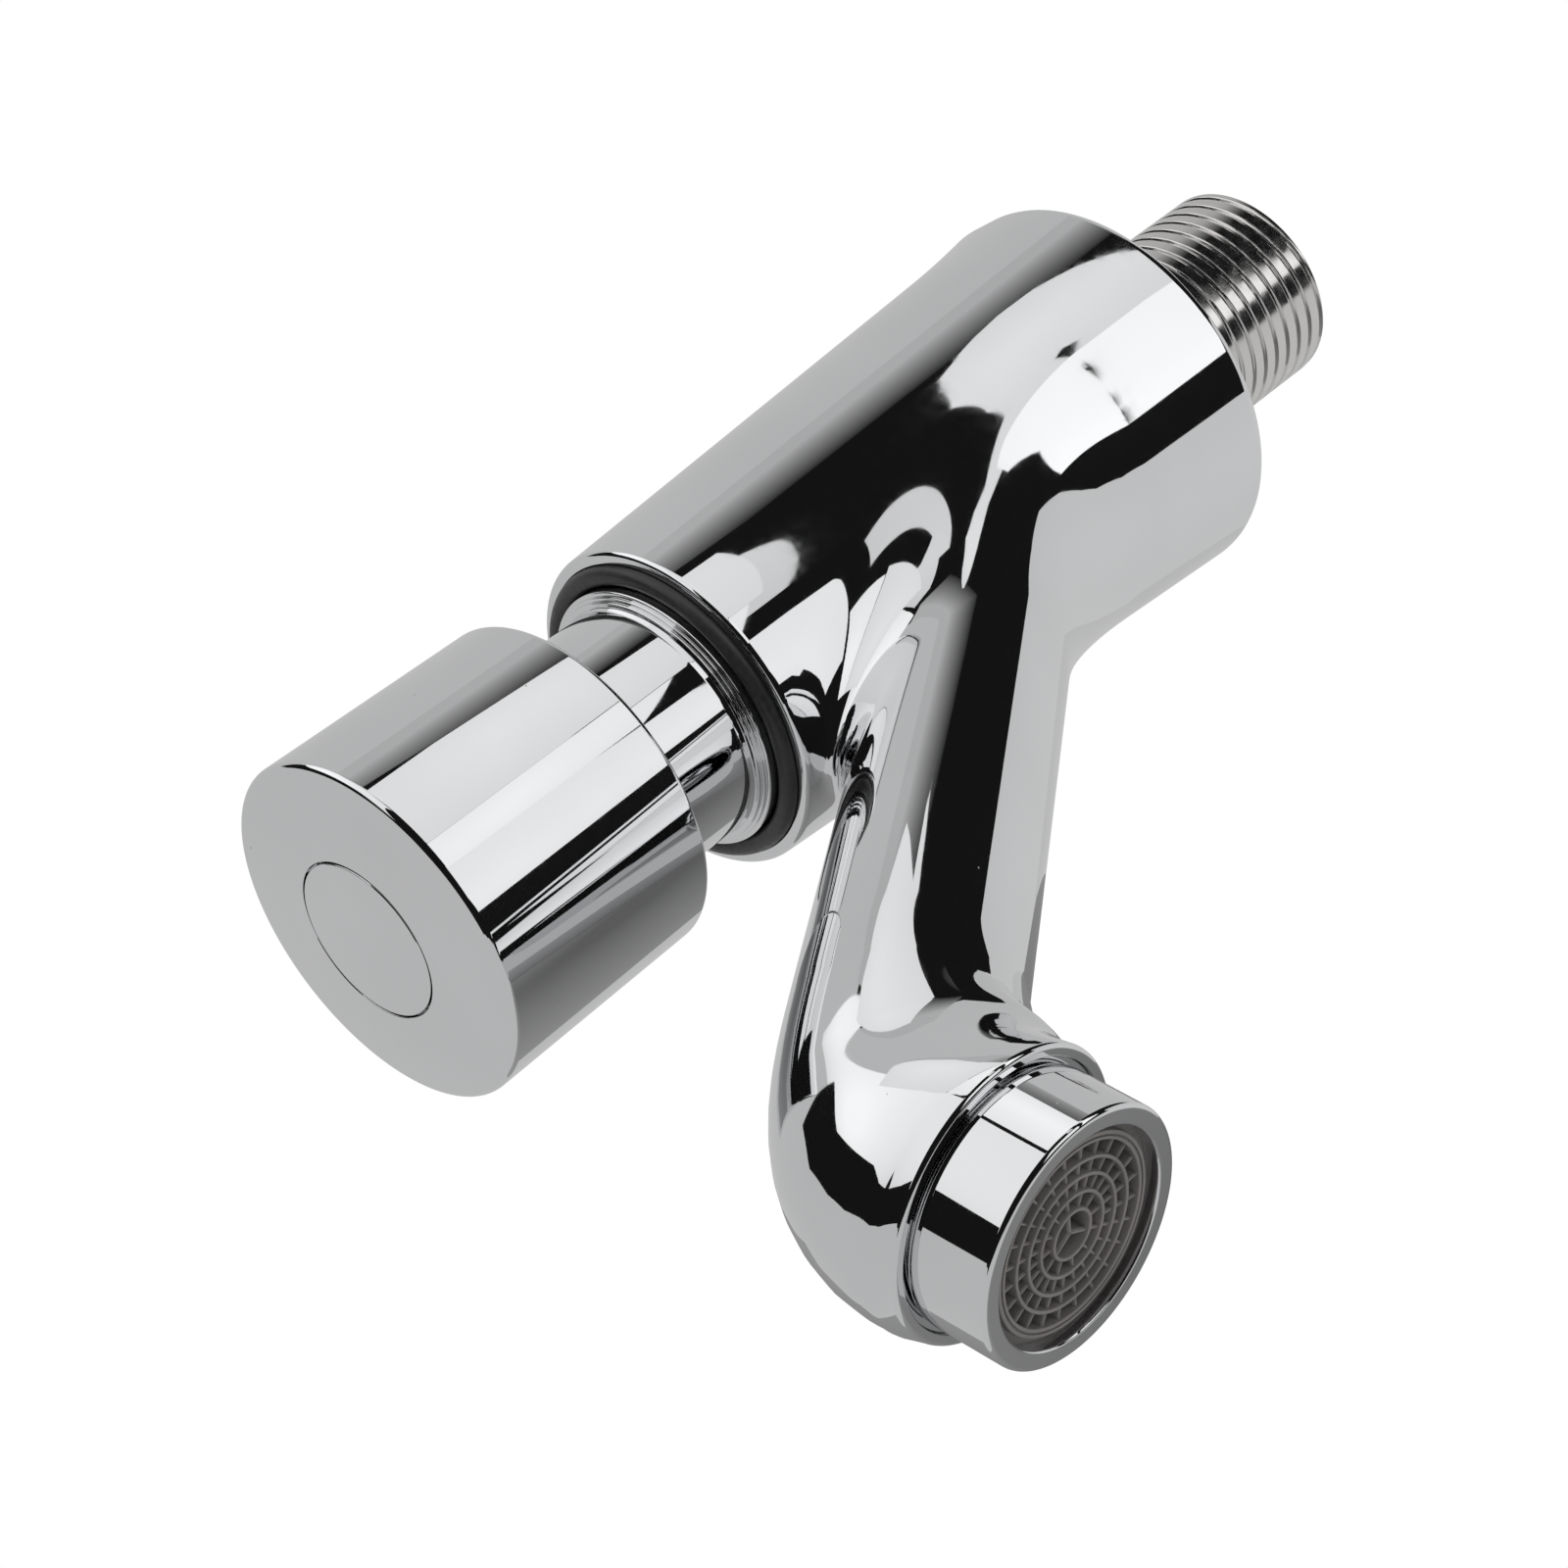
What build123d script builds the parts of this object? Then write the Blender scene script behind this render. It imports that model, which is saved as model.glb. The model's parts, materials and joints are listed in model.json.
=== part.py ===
from build123d import *
import math
import os

# Push tap with timed flow for a wall, in millimetres, Z up.
# The barrel's wall face is at Y = 0, the button faces -Y and the outlet faces -Z.
# A station is a distance in front of the wall face along the barrel's axis, and a
# level is a height above that axis.

# Fits and shared values
slip_gap = 0.03
run_gap = 0.06
seal_run_gap = 0.08
overrun = 1.5
ring_seat_play = 0.4

# Barrel casting
barrel_length = 63.1
barrel_rear_radius = 20.2
barrel_front_radius = 16.7
barrel_rear_round = 2.3
barrel_front_round = 1.0

# Spout arm and elbow
arm_cross_station = 14.0
arm_root_station = 24.0
arm_half_width = 11.6
arm_root_half_depth = 8.1
arm_end_half_depth = 10.2
arm_seam_round = 4.5
arm_width_swell_share = 0.855
arm_depth_swell_share = 0.77
arm_steps = 8
elbow_steps = 4
elbow_bend_radius = 18.0
elbow_corner_height = 12.8
elbow_bulge = 1.04
elbow_bulge_skew = 1.8
elbow_heel = 3.0
elbow_heel_lead = 6.9
outlet_reach = 92.8
outlet_drop = 65.25
outlet_radius = 13.5
outlet_edge_round = 0.7
channel_land = 0.5
elbow_channel_radius = 6.5

# Outlet stub and aerator
stub_radius = 10.97
stub_length = 4.15
stub_bore_radius = 9.1
stub_bore_roof = 0.6
ring_recess_radius = 12.35
ring_recess_depth = 0.5
ring_top_gap = 0.3
ring_radius = 11.85
ring_face_drop = 7.91
ring_lip_thickness = 1.56
ring_lip_radius = 9.95
ring_edge_round = 0.5
notch_drop = 4.75
notch_depth = 0.55
notch_height = 1.6
notch_count = 2
aerator_washer_thickness = 1.0
aerator_washer_hole_radius = 9.0
insert_flange_radius = 10.4
insert_barrel_radius = 9.2
insert_recess = 0.8
insert_rise = 5.4
insert_rise_radius = 8.9
insert_chamber_radius = 8.1
grille_depth = 3.0
grille_rib_inset = 0.35
grille_rib_width = 0.3
grille_hub_spoke_width = 0.42
grille_ring_width = 0.42
grille_ring_radii = (2.25, 3.85, 5.4, 6.9, 8.35)
grille_rib_counts = (12, 24, 24, 24)
hub_spoke_count = 3
jet_plate_thickness = 1.4
jet_hole_radius = 0.5
jet_ring_radii = (3.4, 5.9)
jet_hole_counts = (10, 18)
screen_thickness = 0.5
screen_rim_width = 0.8
screen_hole = 0.9
screen_pitch = 1.5

# Inlet nipple with a G1/2 thread and its strainer
nipple_radius = 10.4775
nipple_stand_out = 22.2
nipple_engaged = 9.5
nipple_engaged_radius = 10.0
nipple_bore_radius = 7.4
nipple_chamfer = 0.3
thread_pitch = 1.814
thread_start = 8.6
thread_grooves = 8
thread_groove_depth = 0.4
thread_groove_width = 0.6
nipple_relief = 0.42
nipple_relief_depth = 0.6
strainer_seat_radius = 8.7
strainer_seat_depth = 1.8
strainer_thickness = 1.5
strainer_rim_width = 1.2
strainer_mesh_thickness = 0.6
strainer_hole = 1.4
strainer_pitch = 2.1

# Stem, valve and seat
push_travel = 8.0
tail_clearance = 0.8
stem_radius = 3.5
stem_tail_radius = 2.5
stem_tail_length = 0.8
stem_flange_radius = 4.6
stem_flange_thickness = 1.6
stem_end_gap = 0.1
valve_nut_height = 3.2
valve_nut_flats = 7.0
holder_floor = 2.0
holder_radius = 8.0
holder_skirt = 2.2
washer_radius = 7.2
washer_thickness = 3.0
seat_lip_height = 0.9
seat_lip_width = 1.2
orifice_radius = 5.4
seat_insert_radius = 8.6
seat_insert_length = 4.4

# Cartridge housing and the body's bores
chamber_radius = 9.2
nose_bore_radius = 11.45
nose_length = 5.0
nose_end_gap = 0.3
main_bore_radius = 12.6
gallery_length = 10.0
waist_radius = 10.0
land_length = 4.6
body_thread_radius = 13.0
outlet_chamber_radius = 7.9
port_radius = 2.6
port_count = 4
collar_seat_depth = 0.8
collar_radius = 13.55
collar_height = 2.7
collar_step_radius = 13.0
collar_step_height = 0.8
collar_root_round = 0.6
neck_radius = 12.12
neck_edge_round = 0.5
timing_bore_radius = 9.0
gland_radius = 10.0
gland_length = 7.0
gland_hole_radius = 0.9
gland_hole_depth = 2.5
gland_hole_circle = 7.6
gland_rest_gap = 0.3

# Seal rings: section diameters
collar_ring_section = 1.9
body_ring_section = 1.6
stem_ring_section = 1.8

# Piston, cup seal, bleed pin, clip and spring
piston_length = 8.0
piston_radius = 8.7
piston_rear_radius = 8.2
piston_front_flange = 2.2
piston_rear_flange = 1.6
cup_groove_radius = 6.8
cup_heel_length = 1.5
cup_heel_radius = 8.5
cup_lip_width = 0.7
bleed_pin_radius = 0.4
bleed_pin_circle = 5.72
bleed_head_radius = 0.85
bleed_head_height = 0.45
clip_thickness = 0.8
clip_radius = 5.1
clip_groove_depth = 0.5
clip_mouth_degrees = 70.0
spring_wire = 1.3
spring_mean_radius = 6.3
spring_turns = 5
spring_end_pitch_share = 0.6
spring_arcs_per_turn = 4
spring_gap_samples = 60

# Push button, its screw and its disc
button_stand_off = 13.3
button_length = 25.0
button_rear_radius = 16.93
button_front_radius = 17.42
button_crown = 1.35
button_front_round = 1.0
button_rear_round = 0.6
button_wall = 2.1
button_front_wall = 4.4
button_stop_gap = 0.3
button_boss_radius = 6.0
button_boss_length = 5.5
disc_recess_radius = 8.12
disc_gap = 0.2
disc_thickness = 1.5
disc_seat_gap = 0.05
screw_radius = 2.0
screw_head_radius = 3.6
screw_head_height = 1.9
screw_length = 7.5
screw_head_play = 0.15
screw_hex_flats = 2.5
screw_hex_depth = 1.2

# Stations along the barrel's axis, from the wall outwards
stem_tail = nipple_engaged + tail_clearance + push_travel
valve_nut_rear = stem_tail + stem_tail_length
holder_rear = valve_nut_rear + valve_nut_height
washer_rear = holder_rear + holder_floor
seat_station = washer_rear + washer_thickness
housing_rear = seat_station + seat_lip_height
nose_front = housing_rear + nose_length
gallery_front = nose_front + gallery_length
gallery_middle = nose_front + gallery_length / 2
land_front = gallery_front + land_length
collar_seat = barrel_length - collar_seat_depth
button_rear = barrel_length + button_stand_off
button_front = button_rear + button_length
button_inner_face = button_front - button_front_wall
boss_rear = button_inner_face - button_boss_length
neck_front = button_inner_face - push_travel - button_stop_gap
gland_front = boss_rear - push_travel - button_stop_gap
gland_rear = gland_front - gland_length
piston_front = gland_rear - gland_rest_gap
piston_rear = piston_front - piston_length
stem_front = button_inner_face - stem_end_gap
dome_radius = (button_front_radius ** 2 + button_crown ** 2) / (2 * button_crown)
dome_centre = button_front + button_crown - dome_radius

# Levels of the outlet, below the barrel's axis
recess_level = -outlet_drop + ring_recess_depth
stub_level = recess_level - stub_length
washer_level = stub_level - aerator_washer_thickness
ring_face_level = -outlet_drop - ring_face_drop
lip_level = ring_face_level + ring_lip_thickness
insert_face_level = ring_face_level + insert_recess
insert_top_level = washer_level + insert_rise
jet_top_level = insert_top_level + jet_plate_thickness
stub_roof_level = jet_top_level + screen_thickness + stub_bore_roof
notch_level = -outlet_drop - notch_drop

# The arm's centre line: a straight run, an elbow and a short drop
elbow_corner_level = elbow_corner_height - outlet_drop
arm_slope = math.atan2(-elbow_corner_level, outlet_reach - arm_cross_station)
elbow_turn = math.pi / 2 - arm_slope
elbow_tangent = elbow_bend_radius * math.tan(elbow_turn / 2)
arm_run = (outlet_reach - arm_root_station) / math.cos(arm_slope) - elbow_tangent
elbow_run = elbow_bend_radius * elbow_turn
outlet_run = elbow_corner_height - elbow_tangent
arm_route = arm_run + elbow_run + outlet_run
heel_run = arm_run + elbow_heel_lead
heel_reach = arm_route - heel_run
arm_channel_radius = gallery_length / 2 - channel_land


def turned(outline):
    """Solid of revolution about the barrel's axis from (radius, station) points."""
    points = [(radius, -station) for radius, station in outline]
    return revolve(make_face(Polyline(*points, close=True)), Axis.Y)


def lathed(outline):
    """Solid of revolution about the outlet's axis from (radius, level) points."""
    points = [(radius, 0, level) for radius, level in outline]
    profile = make_face(Polyline(*points, close=True))
    return Pos(0, -outlet_reach, 0) * revolve(profile, Axis.Z)


def axial_rod(radius, rear, front, across=0.0, up=0.0):
    """Round bar parallel to the barrel's axis between two stations."""
    length = front - rear
    bar = Rot(90, 0, 0) * Cylinder(radius, length, align=(Align.CENTER, Align.CENTER, Align.MIN))
    return Pos(across, -rear, up) * bar


def outlet_rod(radius, low, high):
    """Round bar on the outlet's axis between two levels."""
    bar = Cylinder(radius, high - low, align=(Align.CENTER, Align.CENTER, Align.MIN))
    return Pos(0, -outlet_reach, low) * bar


def tube(outer_radius, inner_radius, rear, front):
    """Ring of rectangular section on the barrel's axis."""
    return turned([(inner_radius, rear), (outer_radius, rear), (outer_radius, front), (inner_radius, front)])


def seal_ring(mean_radius, section, station):
    """Rubber ring of round section on the barrel's axis."""
    return Pos(0, -station, 0) * Rot(90, 0, 0) * Torus(mean_radius, section / 2)


def circle_edges(solid, station, radius):
    """Circular edges on the barrel's axis at one station and radius."""
    found = []
    for edge in solid.edges().filter_by(GeomType.CIRCLE):
        centre = edge.arc_center
        if abs(centre.Y + station) < slip_gap and abs(edge.radius - radius) < slip_gap:
            found.append(edge)
    return found


def arm_place(run):
    """Station, level and dip of the arm's centre line after a run along it."""
    if run <= arm_run:
        station = arm_root_station + run * math.cos(arm_slope)
        return station, -(station - arm_cross_station) * math.tan(arm_slope), arm_slope
    if run <= arm_run + elbow_run:
        dip = arm_slope + (run - arm_run) / elbow_bend_radius
        station = outlet_reach + elbow_bend_radius * (math.sin(dip) - 1)
        level = elbow_corner_level - elbow_tangent + elbow_bend_radius * math.cos(dip)
        return station, level, dip
    level = elbow_corner_level - elbow_tangent - (run - arm_run - elbow_run)
    return outlet_reach, level, math.pi / 2


def eased(share):
    """Share from 0 to 1 with a soft start and a soft end."""
    share = max(0, share)
    return share ** 2 * (3 - 2 * share)


def arm_section(run):
    """Oval section of the arm, which swells to the round outlet."""
    station, level, dip = arm_place(run)
    route_share = run / arm_route
    width_swell = eased((route_share - arm_width_swell_share) / (1 - arm_width_swell_share))
    depth_swell = eased((route_share - arm_depth_swell_share) / (1 - arm_depth_swell_share))
    straight_share = min(1, run / arm_run)
    depth = arm_root_half_depth + (arm_end_half_depth - arm_root_half_depth) * straight_share
    bent_share = max(0, run - arm_run) / (arm_route - arm_run)
    bulge = elbow_bulge * math.sin(math.pi * bent_share ** elbow_bulge_skew)
    heel = elbow_heel * eased(1 - abs(run - heel_run) / heel_reach)
    lift = bulge - heel / 2
    half_width = arm_half_width + (outlet_radius - arm_half_width) * width_swell
    half_depth = depth + (outlet_radius - depth) * depth_swell + (bulge + heel) / 2
    origin = (0, -station - lift * math.sin(dip), level + lift * math.cos(dip))
    heading = (0, -math.cos(dip), -math.sin(dip))
    plane = Plane(origin=origin, x_dir=(1, 0, 0), z_dir=heading)
    if run < arm_route:
        return plane * Ellipse(half_width, half_depth)
    return plane * Circle(outlet_radius)


def make_barrel():
    """Tapered barrel with rounded rims."""
    barrel = turned([
        (0, 0),
        (barrel_rear_radius, 0),
        (barrel_front_radius, barrel_length),
        (0, barrel_length),
    ])
    barrel = fillet(circle_edges(barrel, 0, barrel_rear_radius), barrel_rear_round)
    return fillet(circle_edges(barrel, barrel_length, barrel_front_radius), barrel_front_round)


def make_arm():
    """Spout arm and elbow, lofted through sections along the centre line."""
    runs = [arm_run * step / arm_steps for step in range(arm_steps + 1)]
    runs += [arm_run + elbow_run * step / elbow_steps for step in range(1, elbow_steps + 1)]
    runs.append(arm_route)
    return loft([arm_section(run) for run in runs])


def make_waterways():
    """Channels from the gallery round the cartridge through the arm to the outlet."""
    station = gallery_middle
    level = -(station - arm_cross_station) * math.tan(arm_slope)
    length = (outlet_reach - station) / math.cos(arm_slope)
    heading = (0, -math.cos(arm_slope), -math.sin(arm_slope))
    plane = Plane(origin=(0, -station, level), z_dir=heading)
    oblique = extrude(plane * Circle(arm_channel_radius), length)
    entry_height = -level - main_bore_radius + overrun
    entry = Pos(0, -station, level) * Cylinder(
        arm_channel_radius, entry_height, align=(Align.CENTER, Align.CENTER, Align.MIN))
    return [
        oblique,
        entry,
        outlet_rod(elbow_channel_radius, stub_roof_level - overrun, elbow_corner_level),
        outlet_rod(stub_bore_radius, stub_level - overrun, stub_roof_level),
    ]


def make_body_bores():
    """Stepped bore for the inlet, the valve and the cartridge."""
    return [
        axial_rod(nipple_radius + nipple_relief, -overrun, nipple_relief_depth),
        axial_rod(nipple_engaged_radius + slip_gap, -overrun, nipple_engaged),
        axial_rod(chamber_radius, 0, housing_rear),
        axial_rod(nose_bore_radius, housing_rear - nose_end_gap, nose_front + overrun),
        axial_rod(main_bore_radius, nose_front, land_front),
        axial_rod(body_thread_radius, land_front, barrel_length),
        axial_rod(collar_radius + collar_ring_section + 2 * slip_gap, collar_seat, barrel_length + overrun),
    ]


def make_tap_body():
    """Casting: barrel, spout arm, elbow and threaded outlet stub."""
    barrel = make_barrel()
    arm = make_arm()
    body = barrel + arm
    seam_limit = max(edge.length for edge in body.edges() if edge.geom_type == GeomType.BSPLINE)
    root_station = (arm_root_station + barrel_length) / 2
    seam = [
        edge for edge in body.edges()
        if edge.geom_type == GeomType.BSPLINE
        and edge.length > seam_limit / 2
        and abs(edge.center().Y + root_station) < root_station / 2
    ]
    body = fillet(seam, arm_seam_round)
    rim = [
        edge for edge in body.edges()
        if abs(edge.bounding_box().max.Z + outlet_drop) < slip_gap
        and abs(edge.bounding_box().min.Z + outlet_drop) < slip_gap
    ]
    body = fillet(rim, outlet_edge_round)
    body -= outlet_rod(ring_recess_radius, -outlet_drop - overrun, recess_level)
    body += outlet_rod(stub_radius, stub_level, recess_level + overrun)
    for cut in make_waterways() + make_body_bores():
        body -= cut
    return body


def make_inlet_nipple():
    """Connection that screws into the body's rear and stands out of the wall face."""
    nipple = axial_rod(nipple_radius, -nipple_stand_out, 0)
    nipple += axial_rod(nipple_engaged_radius, 0, nipple_engaged - slip_gap)
    nipple = chamfer(circle_edges(nipple, -nipple_stand_out, nipple_radius), nipple_chamfer)
    for index in range(thread_grooves):
        middle = -thread_start - index * thread_pitch
        steepness = thread_groove_width / 2 / thread_groove_depth
        half = steepness * (thread_groove_depth + overrun)
        nipple -= turned([
            (nipple_radius - thread_groove_depth, middle),
            (nipple_radius + overrun, middle - half),
            (nipple_radius + overrun, middle + half),
        ])
    nipple -= axial_rod(nipple_bore_radius, -nipple_stand_out - overrun, nipple_engaged + overrun)
    return nipple - axial_rod(
        strainer_seat_radius, -nipple_stand_out - overrun, strainer_seat_depth - nipple_stand_out)


def hole_grid(hole, pitch, reach):
    """Square holes in rows that fit inside a circle of the given radius."""
    count = int(reach / pitch)
    half = hole / math.sqrt(2)
    places = []
    for column in range(-count, count + 1):
        for row in range(-count, count + 1):
            if math.hypot(column * pitch, row * pitch) + half < reach:
                places.append((column * pitch, row * pitch))
    return Locations(places)


def perforated(radius, rim_width, hole, pitch):
    """Round face with square holes inside its rim."""
    with BuildSketch() as sketch:
        Circle(radius)
        with hole_grid(hole, pitch, radius - rim_width):
            Rectangle(hole, hole, mode=Mode.SUBTRACT)
    return sketch.sketch


def make_inlet_strainer():
    """Filter disc in the mouth of the nipple."""
    radius = strainer_seat_radius - slip_gap
    floor = strainer_seat_depth - nipple_stand_out
    mesh = extrude(perforated(radius, strainer_rim_width, strainer_hole, strainer_pitch), strainer_mesh_thickness)
    mesh = Pos(0, -floor, 0) * Rot(-90, 0, 0) * mesh
    return mesh + tube(radius, radius - strainer_rim_width, floor - strainer_thickness, floor)


def make_valve_seat():
    """Seat insert with a raised lip that faces the inlet."""
    lip_radius = orifice_radius + seat_lip_width
    front = housing_rear + seat_insert_length
    return turned([
        (orifice_radius, seat_station),
        (lip_radius, seat_station),
        (lip_radius, housing_rear),
        (seat_insert_radius - slip_gap, housing_rear),
        (seat_insert_radius - slip_gap, front),
        (orifice_radius, front),
    ])


def make_cartridge_housing():
    """Chromed sleeve: nose, ported waist, land, thread, collar and neck."""
    nose_radius = nose_bore_radius - slip_gap
    land_radius = main_bore_radius - slip_gap
    thread_radius = body_thread_radius - slip_gap
    collar_front = collar_seat + collar_height
    step_front = collar_front + collar_step_height
    seat_front = housing_rear + seat_insert_length
    housing = turned([
        (seat_insert_radius, housing_rear),
        (nose_radius, housing_rear),
        (nose_radius, nose_front),
        (waist_radius, nose_front),
        (waist_radius, gallery_front),
        (land_radius, gallery_front),
        (land_radius, land_front),
        (thread_radius, land_front),
        (thread_radius, collar_seat),
        (collar_radius, collar_seat),
        (collar_radius, collar_front),
        (collar_step_radius, collar_front),
        (collar_step_radius, step_front),
        (neck_radius, step_front),
        (neck_radius, neck_front),
        (gland_radius, neck_front),
        (gland_radius, gland_rear),
        (timing_bore_radius, gland_rear),
        (timing_bore_radius, land_front),
        (stem_radius + run_gap, land_front),
        (stem_radius + run_gap, gallery_front),
        (outlet_chamber_radius, gallery_front),
        (outlet_chamber_radius, seat_front),
        (seat_insert_radius, seat_front),
    ])
    housing = fillet(circle_edges(housing, step_front, neck_radius), collar_root_round)
    housing = fillet(circle_edges(housing, neck_front, neck_radius), neck_edge_round)
    for middle, bore_radius in (
        (housing_rear + nose_length / 2, nose_bore_radius),
        (gallery_front + land_length / 2, main_bore_radius),
    ):
        width = body_ring_section + ring_seat_play
        floor_radius = bore_radius - 2 * slip_gap - body_ring_section
        housing -= tube(bore_radius, floor_radius, middle - width / 2, middle + width / 2)
    housing -= stem_ring_groove(gallery_front + land_length / 2)
    for index in range(port_count):
        port = Cylinder(port_radius, waist_radius + overrun, align=(Align.CENTER, Align.CENTER, Align.MIN))
        housing -= Pos(0, -gallery_middle, 0) * Rot(0, 360 * index / port_count, 0) * port
    return housing


def stem_ring_groove(middle):
    """Groove that holds a seal ring round the stem."""
    width = stem_ring_section + ring_seat_play
    floor_radius = stem_radius + run_gap + stem_ring_section + slip_gap
    return tube(floor_radius, stem_radius, middle - width / 2, middle + width / 2)


def stem_ring(middle):
    """Seal ring round the stem."""
    return seal_ring(stem_radius + run_gap + stem_ring_section / 2, stem_ring_section, middle)


def body_ring(middle, bore_radius):
    """Seal ring between the housing and one of the body's bores."""
    return seal_ring(bore_radius - slip_gap - body_ring_section / 2, body_ring_section, middle)


def make_collar_o_ring():
    """Black ring round the collar in the barrel's front rim."""
    mean_radius = collar_radius + slip_gap + collar_ring_section / 2
    return seal_ring(mean_radius, collar_ring_section, collar_seat + slip_gap + collar_ring_section / 2)


def make_stem():
    """Rod from the valve to the button, with the piston's flange and clip groove."""
    flange_rear = piston_front - stem_flange_thickness
    groove_radius = stem_radius - clip_groove_depth
    stem = turned([
        (0, stem_tail),
        (stem_tail_radius, stem_tail),
        (stem_tail_radius, seat_station),
        (stem_radius, seat_station),
        (stem_radius, piston_rear - clip_thickness - slip_gap),
        (groove_radius, piston_rear - clip_thickness - slip_gap),
        (groove_radius, piston_rear),
        (stem_radius, piston_rear),
        (stem_radius, flange_rear),
        (stem_flange_radius, flange_rear),
        (stem_flange_radius, piston_front),
        (stem_radius, piston_front),
        (stem_radius, stem_front),
        (0, stem_front),
    ])
    return stem - axial_rod(screw_radius + slip_gap, screw_tip() - slip_gap, stem_front + overrun)


def screw_tip():
    """Station of the button screw's inner end."""
    return screw_head_rear() - screw_length


def screw_head_rear():
    """Station of the face that the button screw's head bears on."""
    return disc_floor() - screw_head_play - screw_head_height


def disc_floor():
    """Station of the floor that the index disc sits on."""
    return crown_station(disc_recess_radius) - disc_thickness - disc_seat_gap


def crown_station(radius):
    """Station of the button's domed face at a radius."""
    return dome_centre + math.sqrt(dome_radius ** 2 - radius ** 2)


def make_valve_holder():
    """Brass cup that carries the washer on the stem's tail."""
    skirt_front = washer_rear + holder_skirt
    bore_radius = stem_tail_radius + slip_gap
    return turned([
        (bore_radius, holder_rear),
        (holder_radius, holder_rear),
        (holder_radius, skirt_front),
        (washer_radius + slip_gap, skirt_front),
        (washer_radius + slip_gap, washer_rear),
        (bore_radius, washer_rear),
    ])


def make_valve_nut():
    """Hexagon nut behind the cup."""
    plane = Plane(origin=(0, -valve_nut_rear, 0), z_dir=(0, -1, 0))
    profile = RegularPolygon(valve_nut_flats / 2, 6, major_radius=False) - Circle(stem_tail_radius + slip_gap)
    return extrude(plane * profile, valve_nut_height)


def make_piston():
    """Timing piston with a groove for the cup seal and a bleed hole."""
    groove_rear = piston_rear + piston_rear_flange
    groove_front = piston_front - piston_front_flange
    flange_rear = piston_front - stem_flange_thickness - slip_gap
    bore_radius = stem_radius + slip_gap
    counterbore = stem_flange_radius + slip_gap
    piston = turned([
        (bore_radius, piston_rear),
        (piston_rear_radius, piston_rear),
        (piston_rear_radius, groove_rear),
        (cup_groove_radius, groove_rear),
        (cup_groove_radius, groove_front),
        (piston_radius, groove_front),
        (piston_radius, piston_front),
        (counterbore, piston_front),
        (counterbore, flange_rear),
        (bore_radius, flange_rear),
    ])
    piston -= axial_rod(bleed_pin_radius + run_gap, piston_rear - overrun, piston_front + overrun, up=bleed_pin_circle)
    head_rear = piston_front - bleed_head_height - slip_gap
    return piston - axial_rod(bleed_head_radius + slip_gap, head_rear, piston_front + overrun, up=bleed_pin_circle)


def make_bleed_pin():
    """Headed metering pin in the piston's bleed hole."""
    head_rear = piston_front - bleed_head_height
    pin = axial_rod(bleed_pin_radius, piston_rear + slip_gap, head_rear, up=bleed_pin_circle)
    return pin + axial_rod(bleed_head_radius, head_rear, piston_front, up=bleed_pin_circle)


def make_cup_seal():
    """Lip seal whose open side faces the button."""
    rear = piston_rear + piston_rear_flange + slip_gap
    front = piston_front - piston_front_flange - slip_gap
    heel_front = rear + cup_heel_length
    inner = cup_groove_radius + slip_gap
    lip_tip = timing_bore_radius - seal_run_gap
    valley = (inner + cup_heel_radius) / 2
    return turned([
        (inner, rear),
        (cup_heel_radius, rear),
        (cup_heel_radius, heel_front),
        (lip_tip, front),
        (lip_tip - cup_lip_width, front),
        (valley, heel_front),
        (inner + cup_lip_width, front),
        (inner, front),
    ])


def make_piston_clip():
    """Open retaining ring behind the piston."""
    front = piston_rear - slip_gap / 2
    inner_radius = stem_radius - clip_groove_depth + slip_gap
    clip = tube(clip_radius, inner_radius, front - clip_thickness + slip_gap / 2, front)
    reach = 2 * clip_radius
    half_mouth = math.radians(clip_mouth_degrees / 2)
    side = reach * math.sin(half_mouth)
    drop = reach * math.cos(half_mouth)
    plane = Plane(origin=(0, -piston_rear - overrun, 0), x_dir=(1, 0, 0), z_dir=(0, 1, 0))
    wedge = plane * make_face(Polyline((0, 0), (side, drop), (-side, drop), close=True))
    return clip - extrude(wedge, clip_thickness + 2 * overrun)


def spring_point(share, radius, rear, rise):
    """Point and heading of the spring's centre line at a share of its length."""
    angle = 2 * math.pi * spring_turns * share
    sway = (1 - spring_end_pitch_share) / (2 * math.pi)
    station = rear + rise * (share - sway * math.sin(2 * math.pi * share))
    climb = rise * (1 - (1 - spring_end_pitch_share) * math.cos(2 * math.pi * share))
    sweep_rate = radius * 2 * math.pi * spring_turns
    point = Vector(radius * math.cos(angle), -station, radius * math.sin(angle))
    heading = Vector(-sweep_rate * math.sin(angle), -climb, sweep_rate * math.cos(angle))
    return point, heading.normalized()


def biarc(start, start_heading, end, end_heading):
    """Two tangent arcs that join two points with the given headings."""
    span = end - start
    both = start_heading + end_heading
    lead = span.dot(both)
    rest = 4 - both.dot(both)
    reach = (math.sqrt(lead ** 2 + rest * span.dot(span)) - lead) / rest
    middle = (start + start_heading * reach + end - end_heading * reach) * 0.5
    first = Edge.make_tangent_arc(start, start_heading, middle)
    second = Edge.make_tangent_arc(middle, first % 1, end)
    return [first, second]


def make_return_spring():
    """Coil spring between the divider and the piston, one unbroken wire."""
    rear = land_front + spring_wire / 2
    rise = piston_rear - land_front - spring_wire
    quarters = spring_arcs_per_turn * spring_turns
    edges = []
    for quarter in range(quarters):
        start = spring_point(quarter / quarters, spring_mean_radius, rear, rise)
        end = spring_point((quarter + 1) / quarters, spring_mean_radius, rear, rise)
        edges += biarc(*start, *end)
    path = Wire(edges)
    report_spring_gap(rear, rise)
    start, heading = spring_point(0, spring_mean_radius, rear, rise)
    profile = Plane(origin=start, z_dir=heading) * Circle(spring_wire / 2)
    return sweep(profile, path=path)


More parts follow.
